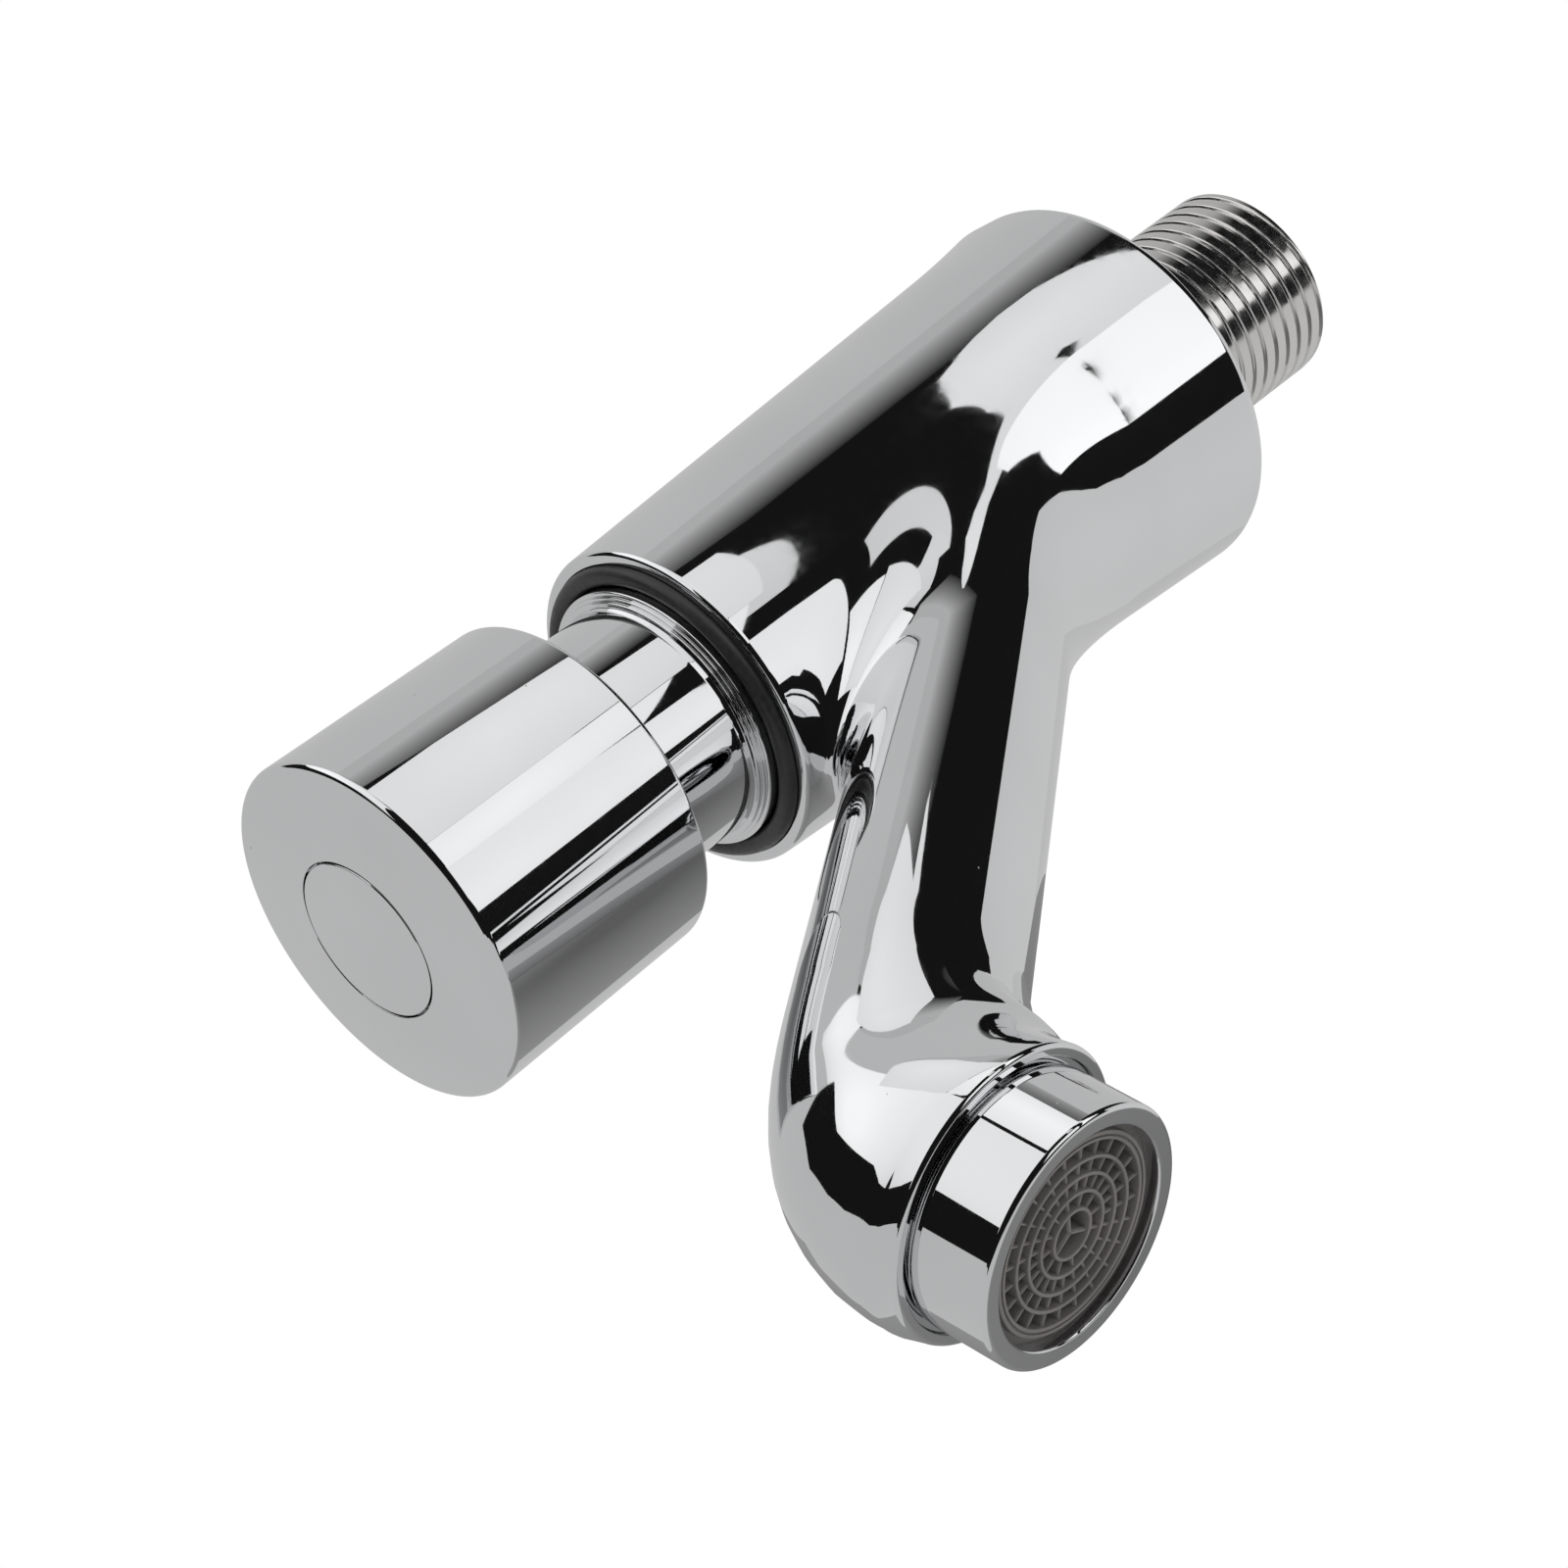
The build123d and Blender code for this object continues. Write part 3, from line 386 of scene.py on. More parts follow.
class Casting:
    """Implicit form of the barrel and its arm, in millimetres."""

    def __init__(self, sizes):
        names = (
            "barrel_length", "rear_radius", "front_radius", "cross_station", "corner_height", "root_station",
            "half_width", "root_half_depth", "end_half_depth", "bend_radius", "bulge", "heel", "heel_lead",
            "outlet_reach", "outlet_drop", "outlet_radius", "blend")
        for name, value in zip(names, in_mm(sizes, *names)):
            setattr(self, name, value)
        self.bulge_skew, self.width_swell, self.depth_swell = sizes.bulge_skew, sizes.width_swell, sizes.depth_swell
        self.taper = (self.rear_radius - self.front_radius) / self.barrel_length
        self.corner_level = self.corner_height - self.outlet_drop
        self.slope = math.atan2(-self.corner_level, self.outlet_reach - self.cross_station)
        self.turn = math.pi / 2 - self.slope
        self.tangent = self.bend_radius * math.tan(self.turn / 2)
        self.root_level = -(self.root_station - self.cross_station) * math.tan(self.slope)
        self.run = (self.outlet_reach - self.root_station) / math.cos(self.slope) - self.tangent
        self.bend_run = self.bend_radius * self.turn
        self.route = self.run + self.bend_run + self.corner_height - self.tangent
        self.bend_station = self.outlet_reach - self.bend_radius
        self.bend_level = self.corner_level - self.tangent

    def barrel_radius(self, station):
        """Radius of the barrel at a station."""
        return self.rear_radius - self.taper * station

    def barrel(self, points):
        """Distance outside the barrel."""
        radius = np.hypot(points[:, 0], points[:, 2])
        return (radius - self.barrel_radius(-points[:, 1])) / math.hypot(1, self.taper)

    def along_arm(self, points):
        """Run along the arm's centre line and height above it."""
        station, level = -points[:, 1], points[:, 2]
        cosine, sine = math.cos(self.slope), math.sin(self.slope)
        run = (station - self.root_station) * cosine - (level - self.root_level) * sine
        height = (station - self.root_station) * sine + (level - self.root_level) * cosine
        east, north = station - self.bend_station, level - self.bend_level
        dip = np.arctan2(east, north)
        bent = run > self.run
        run = np.where(bent, self.run + self.bend_radius * (dip - self.slope), run)
        height = np.where(bent, np.hypot(east, north) - self.bend_radius, height)
        falling = bent & (north < 0)
        run = np.where(falling, self.run + self.bend_run - north, run)
        height = np.where(falling, east - self.bend_radius, height)
        return run, height

    def section(self, run):
        """Half width, half depth and offset of the arm's section after a run."""
        width_swell = eased((run / self.route - self.width_swell) / (1 - self.width_swell))
        depth_swell = eased((run / self.route - self.depth_swell) / (1 - self.depth_swell))
        depth = self.root_half_depth + (self.end_half_depth - self.root_half_depth) * np.clip(run / self.run, 0, 1)
        share = np.clip((run - self.run) / (self.route - self.run), 0, 1)
        bulge = self.bulge * np.sin(math.pi * share ** self.bulge_skew)
        heel_run = self.run + self.heel_lead
        heel = self.heel * eased(1 - np.abs(run - heel_run) / (self.route - heel_run))
        half_width = self.half_width + (self.outlet_radius - self.half_width) * width_swell
        half_depth = depth + (self.outlet_radius - depth) * depth_swell + (bulge + heel) / 2
        return half_width, half_depth, bulge - heel / 2

    def arm(self, points):
        """Distance outside the arm."""
        run, height = self.along_arm(points)
        half_width, half_depth, offset = self.section(run)
        across, height = points[:, 0] / half_width, (height - offset) / half_depth
        ratio = np.maximum(np.hypot(across, height), TINY)
        steepness = np.maximum(np.hypot(across / half_width, height / half_depth), TINY)
        return (ratio - 1) * ratio / steepness

    def distance(self, points):
        """Distance outside the casting, with a soft seam."""
        barrel, arm = self.barrel(points), self.arm(points)
        near = np.clip(1 - np.abs(barrel - arm) / self.blend, 0, 1)
        return np.minimum(barrel, arm) - near ** 2 * self.blend / 4

    def gradient(self, points):
        """Direction in which the distance grows."""
        result = np.empty_like(points)
        for axis in range(3):
            shift = np.zeros(3)
            shift[axis] = PROBE
            result[:, axis] = (self.distance(points + shift) - self.distance(points - shift)) / (2 * PROBE)
        return result

    def normals(self, points):
        """Unit normals of the surface."""
        return unit(self.gradient(points))

    def settle(self, points, rounds):
        """Moves points onto the surface."""
        for _ in range(rounds):
            slope = self.gradient(points)
            size = np.maximum(np.einsum("ij,ij->i", slope, slope), 0.05)
            points = points - slope * (self.distance(points) / size)[:, None]
        return points

    def radial(self, axis, place, angles, radius):
        """Radius of the surface at angles round an axis and a place along it."""
        origin, along = axis[:2]
        ring = ring_round(axis, angles)
        radii = np.full(len(angles), float(radius))
        for _ in range(12):
            here = self.distance(origin + along * place + ring * radii[:, None])
            there = self.distance(origin + along * place + ring * (radii[:, None] + PROBE))
            radii = radii - here * PROBE / (there - here)
        return radii


def crude_casting(form):
    """Rough closed mesh of barrel and arm for the remesh."""
    over = 4.0
    barrel_rows = rounded([
        (0, -over), (form.barrel_radius(-over), -over),
        (form.barrel_radius(form.barrel_length + over), form.barrel_length + over), (0, form.barrel_length + over)])
    barrel_sides, sides = 96, 72
    points, faces, _ = lathe(barrel_rows, BARREL_AXIS, barrel_sides)
    straight, bent = np.linspace(0, form.run, 12), np.linspace(form.run, form.route, 12)[1:]
    runs = np.concatenate([straight, bent, [form.route + over]])
    angles = full_turn(sides)
    arm = []
    for run in runs:
        if run <= form.run:
            station = form.root_station + run * math.cos(form.slope)
            level = form.root_level - run * math.sin(form.slope)
            dip = form.slope
        elif run <= form.run + form.bend_run:
            dip = form.slope + (run - form.run) / form.bend_radius
            station = form.bend_station + form.bend_radius * math.sin(dip)
            level = form.bend_level + form.bend_radius * math.cos(dip)
        else:
            station, level, dip = form.outlet_reach, form.bend_level - (run - form.run - form.bend_run), math.pi / 2
        half_width, half_depth, offset = form.section(np.array([run]))
        raise_by = np.array((0, -math.sin(dip), math.cos(dip)))
        ring = np.outer(np.cos(angles) * half_width[0], (1, 0, 0))
        ring += np.outer(np.sin(angles) * half_depth[0] + offset[0], raise_by)
        arm.append(ring + np.array((0, -station, level)))
    start = len(points)
    points = np.concatenate([points] + arm)
    faces += tube_faces(len(runs), sides, start)
    for end in (start, start + (len(runs) - 1) * sides):
        faces.append([end + side for side in range(sides)])
    return points, faces


def remeshed(points, faces, pitch):
    """Even quads round a rough mesh."""
    mesh = bpy.data.meshes.new("rough")
    mesh.from_pydata(points.tolist(), [], faces)
    work = bmesh.new()
    work.from_mesh(mesh)
    bmesh.ops.recalc_face_normals(work, faces=work.faces)
    work.to_mesh(mesh)
    work.free()
    rough = placed("rough", mesh)
    remesh = rough.modifiers.new("even", "REMESH")
    remesh.mode = "VOXEL"
    remesh.voxel_size = pitch
    bpy.context.view_layer.update()
    even = bpy.data.meshes.new_from_object(rough.evaluated_get(bpy.context.evaluated_depsgraph_get()))
    bpy.data.objects.remove(rough)
    return even


def relax(form, mesh, rounds):
    """Evens out the points of a mesh along the casting's surface."""
    points = np.array([vertex.co for vertex in mesh.vertices], float)
    edges = np.array([edge.vertices for edge in mesh.edges])
    degree = np.bincount(edges.ravel(), minlength=len(points)).astype(float)[:, None]
    free = (points[:, 1] < 3) & (points[:, 1] > -form.barrel_length - 3) & (points[:, 2] > -form.outlet_drop - 3)
    points[free] = form.settle(points[free], 5)
    for _ in range(rounds):
        total = np.zeros_like(points)
        np.add.at(total, edges[:, 0], points[edges[:, 1]])
        np.add.at(total, edges[:, 1], points[edges[:, 0]])
        move = total / degree - points
        normal = form.normals(points[free])
        slide = move[free]
        slide -= normal * np.einsum("ij,ij->i", slide, normal)[:, None]
        points[free] = form.settle(points[free] + 0.6 * slide, 1)
    points[free] = form.settle(points[free], 3)
    mesh.vertices.foreach_set("co", points.ravel())
    mesh.update()


def cut_skin(mesh, planes):
    """Cuts a mesh by planes and returns its points, faces and open edges."""
    work = bmesh.new()
    work.from_mesh(mesh)
    for place, direction, reach in planes:
        near = [vertex for vertex in work.verts if math.hypot(vertex.co.x, vertex.co.z) < reach]
        chosen = set(near)
        edges = [edge for edge in work.edges if chosen.issuperset(edge.verts)]
        patch = [face for face in work.faces if chosen.issuperset(face.verts)]
        bmesh.ops.bisect_plane(
            work, geom=near + edges + patch, plane_co=place, plane_no=direction, clear_outer=True, dist=0.02)
    loose = [vertex for vertex in work.verts if not vertex.link_faces]
    bmesh.ops.delete(work, geom=loose, context="VERTS")
    work.verts.index_update()
    points = np.array([vertex.co for vertex in work.verts], float)
    faces = [[vertex.index for vertex in face.verts] for face in work.faces]
    open_points = sorted({vertex.index for edge in work.edges if edge.is_boundary for vertex in edge.verts})
    work.free()
    return points, faces, open_points


def angles_round(points, axis):
    """Angle of each point round an axis."""
    origin, _, across, up = axis
    return np.arctan2((points - origin) @ up, (points - origin) @ across) % (2 * math.pi)


def zip_rings(first, first_angles, second, second_angles):
    """Triangles between two rings of points sorted by angle."""
    faces = []
    i = j = 0
    while i < len(first) or j < len(second):
        next_first = first_angles[i + 1] if i + 1 < len(first) else 2 * math.pi + first_angles[0]
        next_second = second_angles[j + 1] if j + 1 < len(second) else 2 * math.pi + second_angles[0]
        here, there = first[i % len(first)], second[j % len(second)]
        if j >= len(second) or (i < len(first) and next_first <= next_second):
            faces.append([here, first[(i + 1) % len(first)], there])
            i += 1
        else:
            faces.append([here, second[(j + 1) % len(second)], there])
            j += 1
    return faces


def casting_outlines(scene, form, front_start, rear_start, outlet_start):
    """Outlines of the rims and bores that close the casting's skin."""
    sizes = scene.push_tap_casting
    rear_round, front_round = in_mm(sizes, "rear_round", "front_round")
    collar, section = in_mm(scene.push_tap_button, "collar_radius", "ring_section")
    stub, recess = in_mm(scene.push_tap_outlet, "stub_radius", "recess_radius")
    front = form.barrel_length
    seat = collar + section + 0.06
    through = rounded([
        (form.barrel_radius(front_start), front_start),
        (form.front_radius, front, front_round),
        (seat, front, 0.12), (seat, front - COLLAR_SEAT, 0.1),
        (13.0, front - COLLAR_SEAT, 0.1), (13.0, SHOULDER, 0.1),
        (12.6, SHOULDER, 0.1), (12.6, GALLERY, 0.1),
        (11.45, GALLERY, 0.1), (11.45, 27.9, 0.1),
        (9.2, 27.9, 0.1), (9.2, 9.5, 0.1),
        (10.03, 9.5, 0.1), (10.03, 0.6, 0.1),
        (10.9, 0.6, 0.1), (10.9, 0, 0.15),
        (form.rear_radius, 0, rear_round),
        (form.barrel_radius(rear_start), rear_start),
    ], steps=6)
    face = -form.outlet_drop
    outlet = rounded([
        (form.outlet_radius, outlet_start),
        (form.outlet_radius, face, 0.5),
        (recess, face, 0.15), (recess, face + 0.5, 0.12),
        (stub, face + 0.5, 0.1), (stub, face - 3.65, 0.2),
        (9.1, face - 3.65, 0.2), (9.1, face + 1.1, 0.2),
        (0, face + 1.1),
    ], steps=6)
    return through, outlet


def build_casting(scene):
    """Skin of the casting with its rims and bores, as one closed mesh."""
    sizes = scene.push_tap_casting
    form = Casting(sizes)
    pitch, = in_mm(sizes, "skin_pitch")
    segments = scene.push_tap_stage.segments
    even = remeshed(*crude_casting(form), pitch)
    relax(form, even, 10)
    front_cut, rear_cut, outlet_cut = form.barrel_length - 1.7, 3.0, 2.6 - form.outlet_drop
    step = 0.5
    points, faces, open_points = cut_skin(even, [
        ((0, -rear_cut, 0), (0, 1, 0), form.rear_radius + 3),
        ((0, -front_cut, 0), (0, -1, 0), form.front_radius + 1.6),
        ((0, -form.outlet_reach, outlet_cut), (0, 0, -1), 2 * form.outlet_drop),
    ])
    outlet = outlet_axis(scene)
    open_points = np.array(open_points)
    at = points[open_points]
    groups = [
        (open_points[np.abs(at[:, 1] + front_cut) < ON_CUT], BARREL_AXIS, front_cut, front_cut + step),
        (open_points[np.abs(at[:, 1] + rear_cut) < ON_CUT], BARREL_AXIS, rear_cut, rear_cut - step),
        (open_points[np.abs(at[:, 2] - outlet_cut) < ON_CUT], outlet, outlet_cut, outlet_cut - step),
    ]
    through, spout = casting_outlines(scene, form, groups[0][3], groups[1][3], groups[2][3])
    normals = form.normals(points)
    uniform = full_turn(segments)
    parts = []
    for rows, axis in ((through, BARREL_AXIS), (spout, outlet)):
        more, more_faces, more_normals = lathe(rows, axis, segments)
        parts.append((len(points), len(rows)))
        faces += [[corner + len(points) for corner in face] for face in more_faces]
        points = np.concatenate([points, more])
        normals = np.concatenate([normals, more_normals])
    ends = (parts[0][0], parts[0][0] + (parts[0][1] - 1) * segments, parts[1][0])
    for (loop, axis, place, start), first in zip(groups, ends):
        angles = angles_round(points[loop], axis)
        order = np.argsort(angles)
        loop, angles = loop[order], angles[order]
        base = form.barrel_radius(place) if axis is BARREL_AXIS else form.outlet_radius
        target = np.arange(first, first + segments)
        for chosen, turns, where in ((loop, angles, place), (target, uniform, start)):
            radii = form.radial(axis, where, turns, base)
            points[chosen] = axis[0] + axis[1] * where + ring_round(axis, turns) * radii[:, None]
            normals[chosen] = form.normals(points[chosen])
        faces += zip_rings(loop.tolist(), angles, target.tolist(), uniform)
    return solid("casting", points, orient(points, faces, normals), normals)


def orient(points, faces, normals):
    """Turns each face towards the normals of its corners."""
    result = []
    for face in faces:
        a, b, c = (points[corner] for corner in (face[0], face[1], face[2]))
        facing = np.cross(b - a, c - a)
        if len(face) > 3:
            d = points[face[3]]
            facing = np.cross(c - a, d - b)
        result.append(face if facing @ sum(normals[corner] for corner in face) >= 0 else face[::-1])
    return result


# Materials --------------------------------------------------------------------------


class Tree:
    """Short hand for making the nodes of a tree."""

    def __init__(self, tree):
        self.tree = tree

    def add(self, kind, inputs=None, **settings):
        node = self.tree.nodes.new(kind)
        for name, value in settings.items():
            setattr(node, name, value)
        for name, value in (inputs or {}).items():
            self.feed(node.inputs[name], value)
        return node

    def feed(self, socket, value):
        """Links an output to a socket, or sets the socket's own value."""
        if isinstance(value, bpy.types.NodeSocket):
            self.tree.links.new(value, socket)
        else:
            socket.default_value = value

    def math(self, operation, first, second=0.0):
        return self.add("ShaderNodeMath", {0: first, 1: second}, operation=operation).outputs[0]

    def seen(self):
        """1 for rays from the camera, mirrors and glass, 0 for rays that light a surface."""
        path = self.add("ShaderNodeLightPath").outputs
        direct = self.math("MAXIMUM", path["Is Camera Ray"], path["Is Glossy Ray"])
        return self.math("MAXIMUM", direct, path["Is Transmission Ray"])


class Nodes(Tree):
    """Short hand for making a material's nodes."""

    def __init__(self, name):
        self.material = bpy.data.materials.new(name)
        self.material.use_nodes = True
        super().__init__(self.material.node_tree)
        self.shader = self.tree.nodes["Principled BSDF"]
        self.place = self.add("ShaderNodeTexCoord").outputs["Object"]

    def noise(self, scale, detail=3.0, stretch=None):
        place = self.place
        if stretch:
            place = self.add("ShaderNodeMapping", {"Vector": place, "Scale": stretch}).outputs[0]
        return self.add("ShaderNodeTexNoise", {"Vector": place, "Scale": scale, "Detail": detail}).outputs["Fac"]

    def ramp(self, value, low, high, out_low, out_high):
        return self.add("ShaderNodeMapRange", {
            "Value": value, "From Min": low, "From Max": high, "To Min": out_low, "To Max": out_high}).outputs[0]

    def spread(self, value, low, high):
        """Value between two limits that follows the middle of a noise."""
        return self.ramp(value, 0.3, 0.7, low, high)

    def mix(self, share, first, second):
        colours = [(*value, 1) if isinstance(value, tuple) else value for value in (first, second)]
        return self.add("ShaderNodeMix", {0: share, 6: colours[0], 7: colours[1]}, data_type="RGBA").outputs[2]

    def mottle(self, value, base, share):
        """Colour that wanders between a base and a share of it."""
        return self.mix(self.spread(value, 0.0, 1.0), tuple(base), shade(base, share))

    def bump(self, height, distance, normal=None):
        inputs = {"Height": height, "Distance": distance}
        if normal is not None:
            inputs["Normal"] = normal
        return self.add("ShaderNodeBump", inputs).outputs[0]

    def coat(self, colour, roughness, normal, metallic=0.0):
        """Feeds the shader and returns the material."""
        inputs = {"Base Color": colour, "Roughness": roughness, "Normal": normal, "Metallic": metallic}
        for name, value in inputs.items():
            self.feed(self.shader.inputs[name], value)
        return self.material

    def glow(self, strength):
        """White light of a strength."""
        return self.add("ShaderNodeEmission", {"Color": (1, 1, 1, 1), "Strength": strength}).outputs[0]

    def show(self, surface):
        """Makes an output the material's surface."""
        self.feed(self.tree.nodes["Material Output"].inputs["Surface"], surface)
        return self.material


def shade(values, share):
    """Colour scaled by a share."""
    return tuple(value * share for value in values)


def chrome(name, base, roughness, pitting, waviness):
    """Bright plate with pits, a fine haze and a slight waviness of the polish."""
    nodes = Nodes(name)
    cells = nodes.add("ShaderNodeTexVoronoi", {"Vector": nodes.place, "Scale": 420.0})
    chosen = nodes.add("ShaderNodeSeparateColor", {"Color": cells.outputs["Color"]}).outputs[0]
    size = nodes.ramp(chosen, 0.86, 1.0, 0.0, 0.075)
    pit = nodes.ramp(nodes.math("SUBTRACT", size, cells.outputs["Distance"]), 0.0, 0.03, 0.0, pitting)
    tint = nodes.mottle(nodes.noise(60.0, 2.0), base, 0.96)
    haze = nodes.ramp(nodes.noise(900.0, 4.0), 0.35, 0.75, roughness * 0.7, roughness * 1.5)
    polish = nodes.bump(nodes.noise(110.0, 1.0), waviness)
    return nodes.coat(
        nodes.mix(pit, tint, shade(base, 0.35)), nodes.math("ADD", haze, nodes.math("MULTIPLY", pit, 0.25)),
        nodes.bump(nodes.math("SUBTRACT", 1.0, pit), 0.00002, normal=polish), metallic=1.0)


def metal(name, base, roughness, grain, stretch):
    """Bare turned metal or wire with fine grain."""
    nodes = Nodes(name)
    streak = nodes.noise(grain, 4.0, stretch)
    return nodes.coat(
        nodes.mottle(streak, base, 0.78), nodes.spread(streak, roughness * 0.8, roughness * 1.3),
        nodes.bump(streak, 0.00002), metallic=1.0)


def moulded(name, base, roughness, grain):
    """Moulded plastic with a fine even texture and slight cloudiness."""
    nodes = Nodes(name)
    fine = nodes.noise(grain, 3.0)
    return nodes.coat(
        nodes.mottle(nodes.noise(180.0, 2.0), base, 0.82),
        nodes.spread(fine, roughness * 0.85, roughness * 1.15), nodes.bump(fine, 0.00003))


def rubber(name, base):
    """Black rubber with dusty specks and a soft sheen."""
    nodes = Nodes(name)
    fine = nodes.noise(1500.0, 4.0)
    dust = nodes.ramp(nodes.noise(3200.0, 2.0), 0.68, 0.78, 0.0, 0.35)
    return nodes.coat(
        nodes.mix(dust, nodes.mottle(fine, base, 1.5), (0.10, 0.10, 0.10)),
        nodes.spread(fine, 0.32, 0.48), nodes.bump(fine, 0.00002))


def get_material(scene, slot):
    """Finish of a slot, made on first use. The frame's own plain materials keep the slots' names."""
    name = slot + "_finish"
    if name in bpy.data.materials:
        return bpy.data.materials[name]
    finish = scene.push_tap_finish
    makers = {
        "chrome_casting": lambda: chrome(name, finish.chrome, 0.03, 1.0, 0.00001),
        "chrome_turned": lambda: chrome(name, finish.chrome, 0.03, 0.7, 0.000005),
        "chrome_thread": lambda: chrome(name, finish.worn_chrome, 0.13, 0.4, 0.00001),
        "black_rubber": lambda: rubber(name, finish.rubber),
        "brass": lambda: metal(name, finish.brass, 0.28, 900.0, (1.0, 9.0, 1.0)),
        "spring_steel": lambda: metal(name, finish.steel, 0.3, 1400.0, (1.0, 1.0, 1.0)),
        "grey_plastic": lambda: moulded(name, finish.grey_plastic, 0.42, 2400.0),
        "white_plastic": lambda: moulded(name, finish.white_plastic, 0.45, 1800.0),
    }
    return makers[slot]()


# Geometry node trees ----------------------------------------------------------------


class Growth(Tree):
    """Short hand for a geometry node tree with named inputs."""

    def __init__(self, name):
        super().__init__(bpy.data.node_groups.new(name, "GeometryNodeTree"))
        for way in ("INPUT", "OUTPUT"):
            self.tree.interface.new_socket("Geometry", in_out=way, socket_type="NodeSocketGeometry")
        self.entry = self.tree.nodes.new("NodeGroupInput")
        self.exit = self.tree.nodes.new("NodeGroupOutput")

    def size(self, name, kind="NodeSocketFloat"):
        """Named input of the tree."""
        self.tree.interface.new_socket(name, in_out="INPUT", socket_type=kind)
        return self.entry.outputs[name]

    def finish(self, geometry, material):
        """Ends the tree with real meshes in a material."""
        realized = self.add("GeometryNodeRealizeInstances", {"Geometry": geometry}).outputs[0]
        coated = self.add("GeometryNodeSetMaterial", {"Geometry": realized, "Material": material}).outputs[0]
        self.tree.links.new(coated, self.exit.inputs[0])

    def grow(self, piece, **values):
        """Runs the tree on a piece and keeps the result as its plain mesh."""
        modifier = piece.modifiers.new("growth", "NODES")
        modifier.node_group = self.tree
        for item in self.tree.interface.items_tree:
            if item.in_out == "INPUT" and item.name in values:
                modifier[item.identifier] = values[item.name]
        bpy.context.view_layer.update()
        graph = bpy.context.evaluated_depsgraph_get()
        mesh = bpy.data.meshes.new_from_object(piece.evaluated_get(graph))
        piece.modifiers.remove(modifier)
        old = piece.data
        piece.data = mesh
        bpy.data.meshes.remove(old)
        mesh.name = piece.name


def thread_growth(material):
    """Tree that cuts a screw thread into a turned blank, where its cut attribute allows."""
    growth = Growth("thread")
    pitch, depth = growth.size("Pitch"), growth.size("Depth")
    place = growth.add("GeometryNodeInputPosition").outputs[0]
    parts = growth.add("ShaderNodeSeparateXYZ", {0: place}).outputs
    turn = growth.math("DIVIDE", growth.math("ARCTAN2", parts[2], parts[0]), 2 * math.pi)
    run = growth.math("ADD", growth.math("DIVIDE", parts[1], pitch), turn)
    phase = growth.math("FRACT", growth.math("SUBTRACT", run, 0.1253))
    wave = growth.math("MULTIPLY", growth.math("PINGPONG", phase, 0.5), 2.0)
    flank = growth.add("ShaderNodeMapRange", {
        "Value": wave, "From Min": 0.66, "From Max": 0.97, "To Min": 0.0, "To Max": 1.0}).outputs[0]
    share = growth.add("GeometryNodeInputNamedAttribute", {"Name": "cut"}, data_type="FLOAT").outputs["Attribute"]
    fall = growth.math("MULTIPLY", growth.math("MULTIPLY", flank, share), depth)
    outward = growth.add("ShaderNodeCombineXYZ", {0: parts[0], 2: parts[2]}).outputs[0]
    outward = growth.add("ShaderNodeVectorMath", {0: outward}, operation="NORMALIZE").outputs[0]
    inward = growth.math("MULTIPLY", fall, -1.0)
    move = growth.add("ShaderNodeVectorMath", {0: outward, "Scale": inward}, operation="SCALE")
    moved = growth.add("GeometryNodeSetPosition", {"Geometry": growth.entry.outputs[0], "Offset": move.outputs[0]})
    growth.finish(moved.outputs[0], material)
    return growth


def rib_growth(material):
    """Tree that sets ribs round a point: a row of copies turned about +Z."""
    growth = Growth("ribs")
    count = growth.size("Count", "NodeSocketInt")
    radius = growth.size("Radius")
    circle = growth.add("GeometryNodeMeshCircle", {"Vertices": count, "Radius": radius}).outputs[0]
    place = growth.add("GeometryNodeInputPosition").outputs[0]
    parts = growth.add("ShaderNodeSeparateXYZ", {0: place}).outputs
    angle = growth.math("ARCTAN2", parts[1], parts[0])
    turn = growth.add("ShaderNodeCombineXYZ", {2: angle}).outputs[0]
    copies = growth.add("GeometryNodeInstanceOnPoints", {
        "Points": circle, "Instance": growth.entry.outputs[0], "Rotation": turn}).outputs[0]
    growth.finish(copies, material)
    return growth


# Operators --------------------------------------------------------------------------


class PUSH_TAP_OT_casting(Operator):
    """Build the cast barrel with its arm and elbow"""

    bl_idname = "push_tap.casting"
    bl_label = "Casting"

    def execute(self, context):
        finish_piece(build_casting(context.scene), "tap", "chrome_casting", "tap_body")
        return {"FINISHED"}


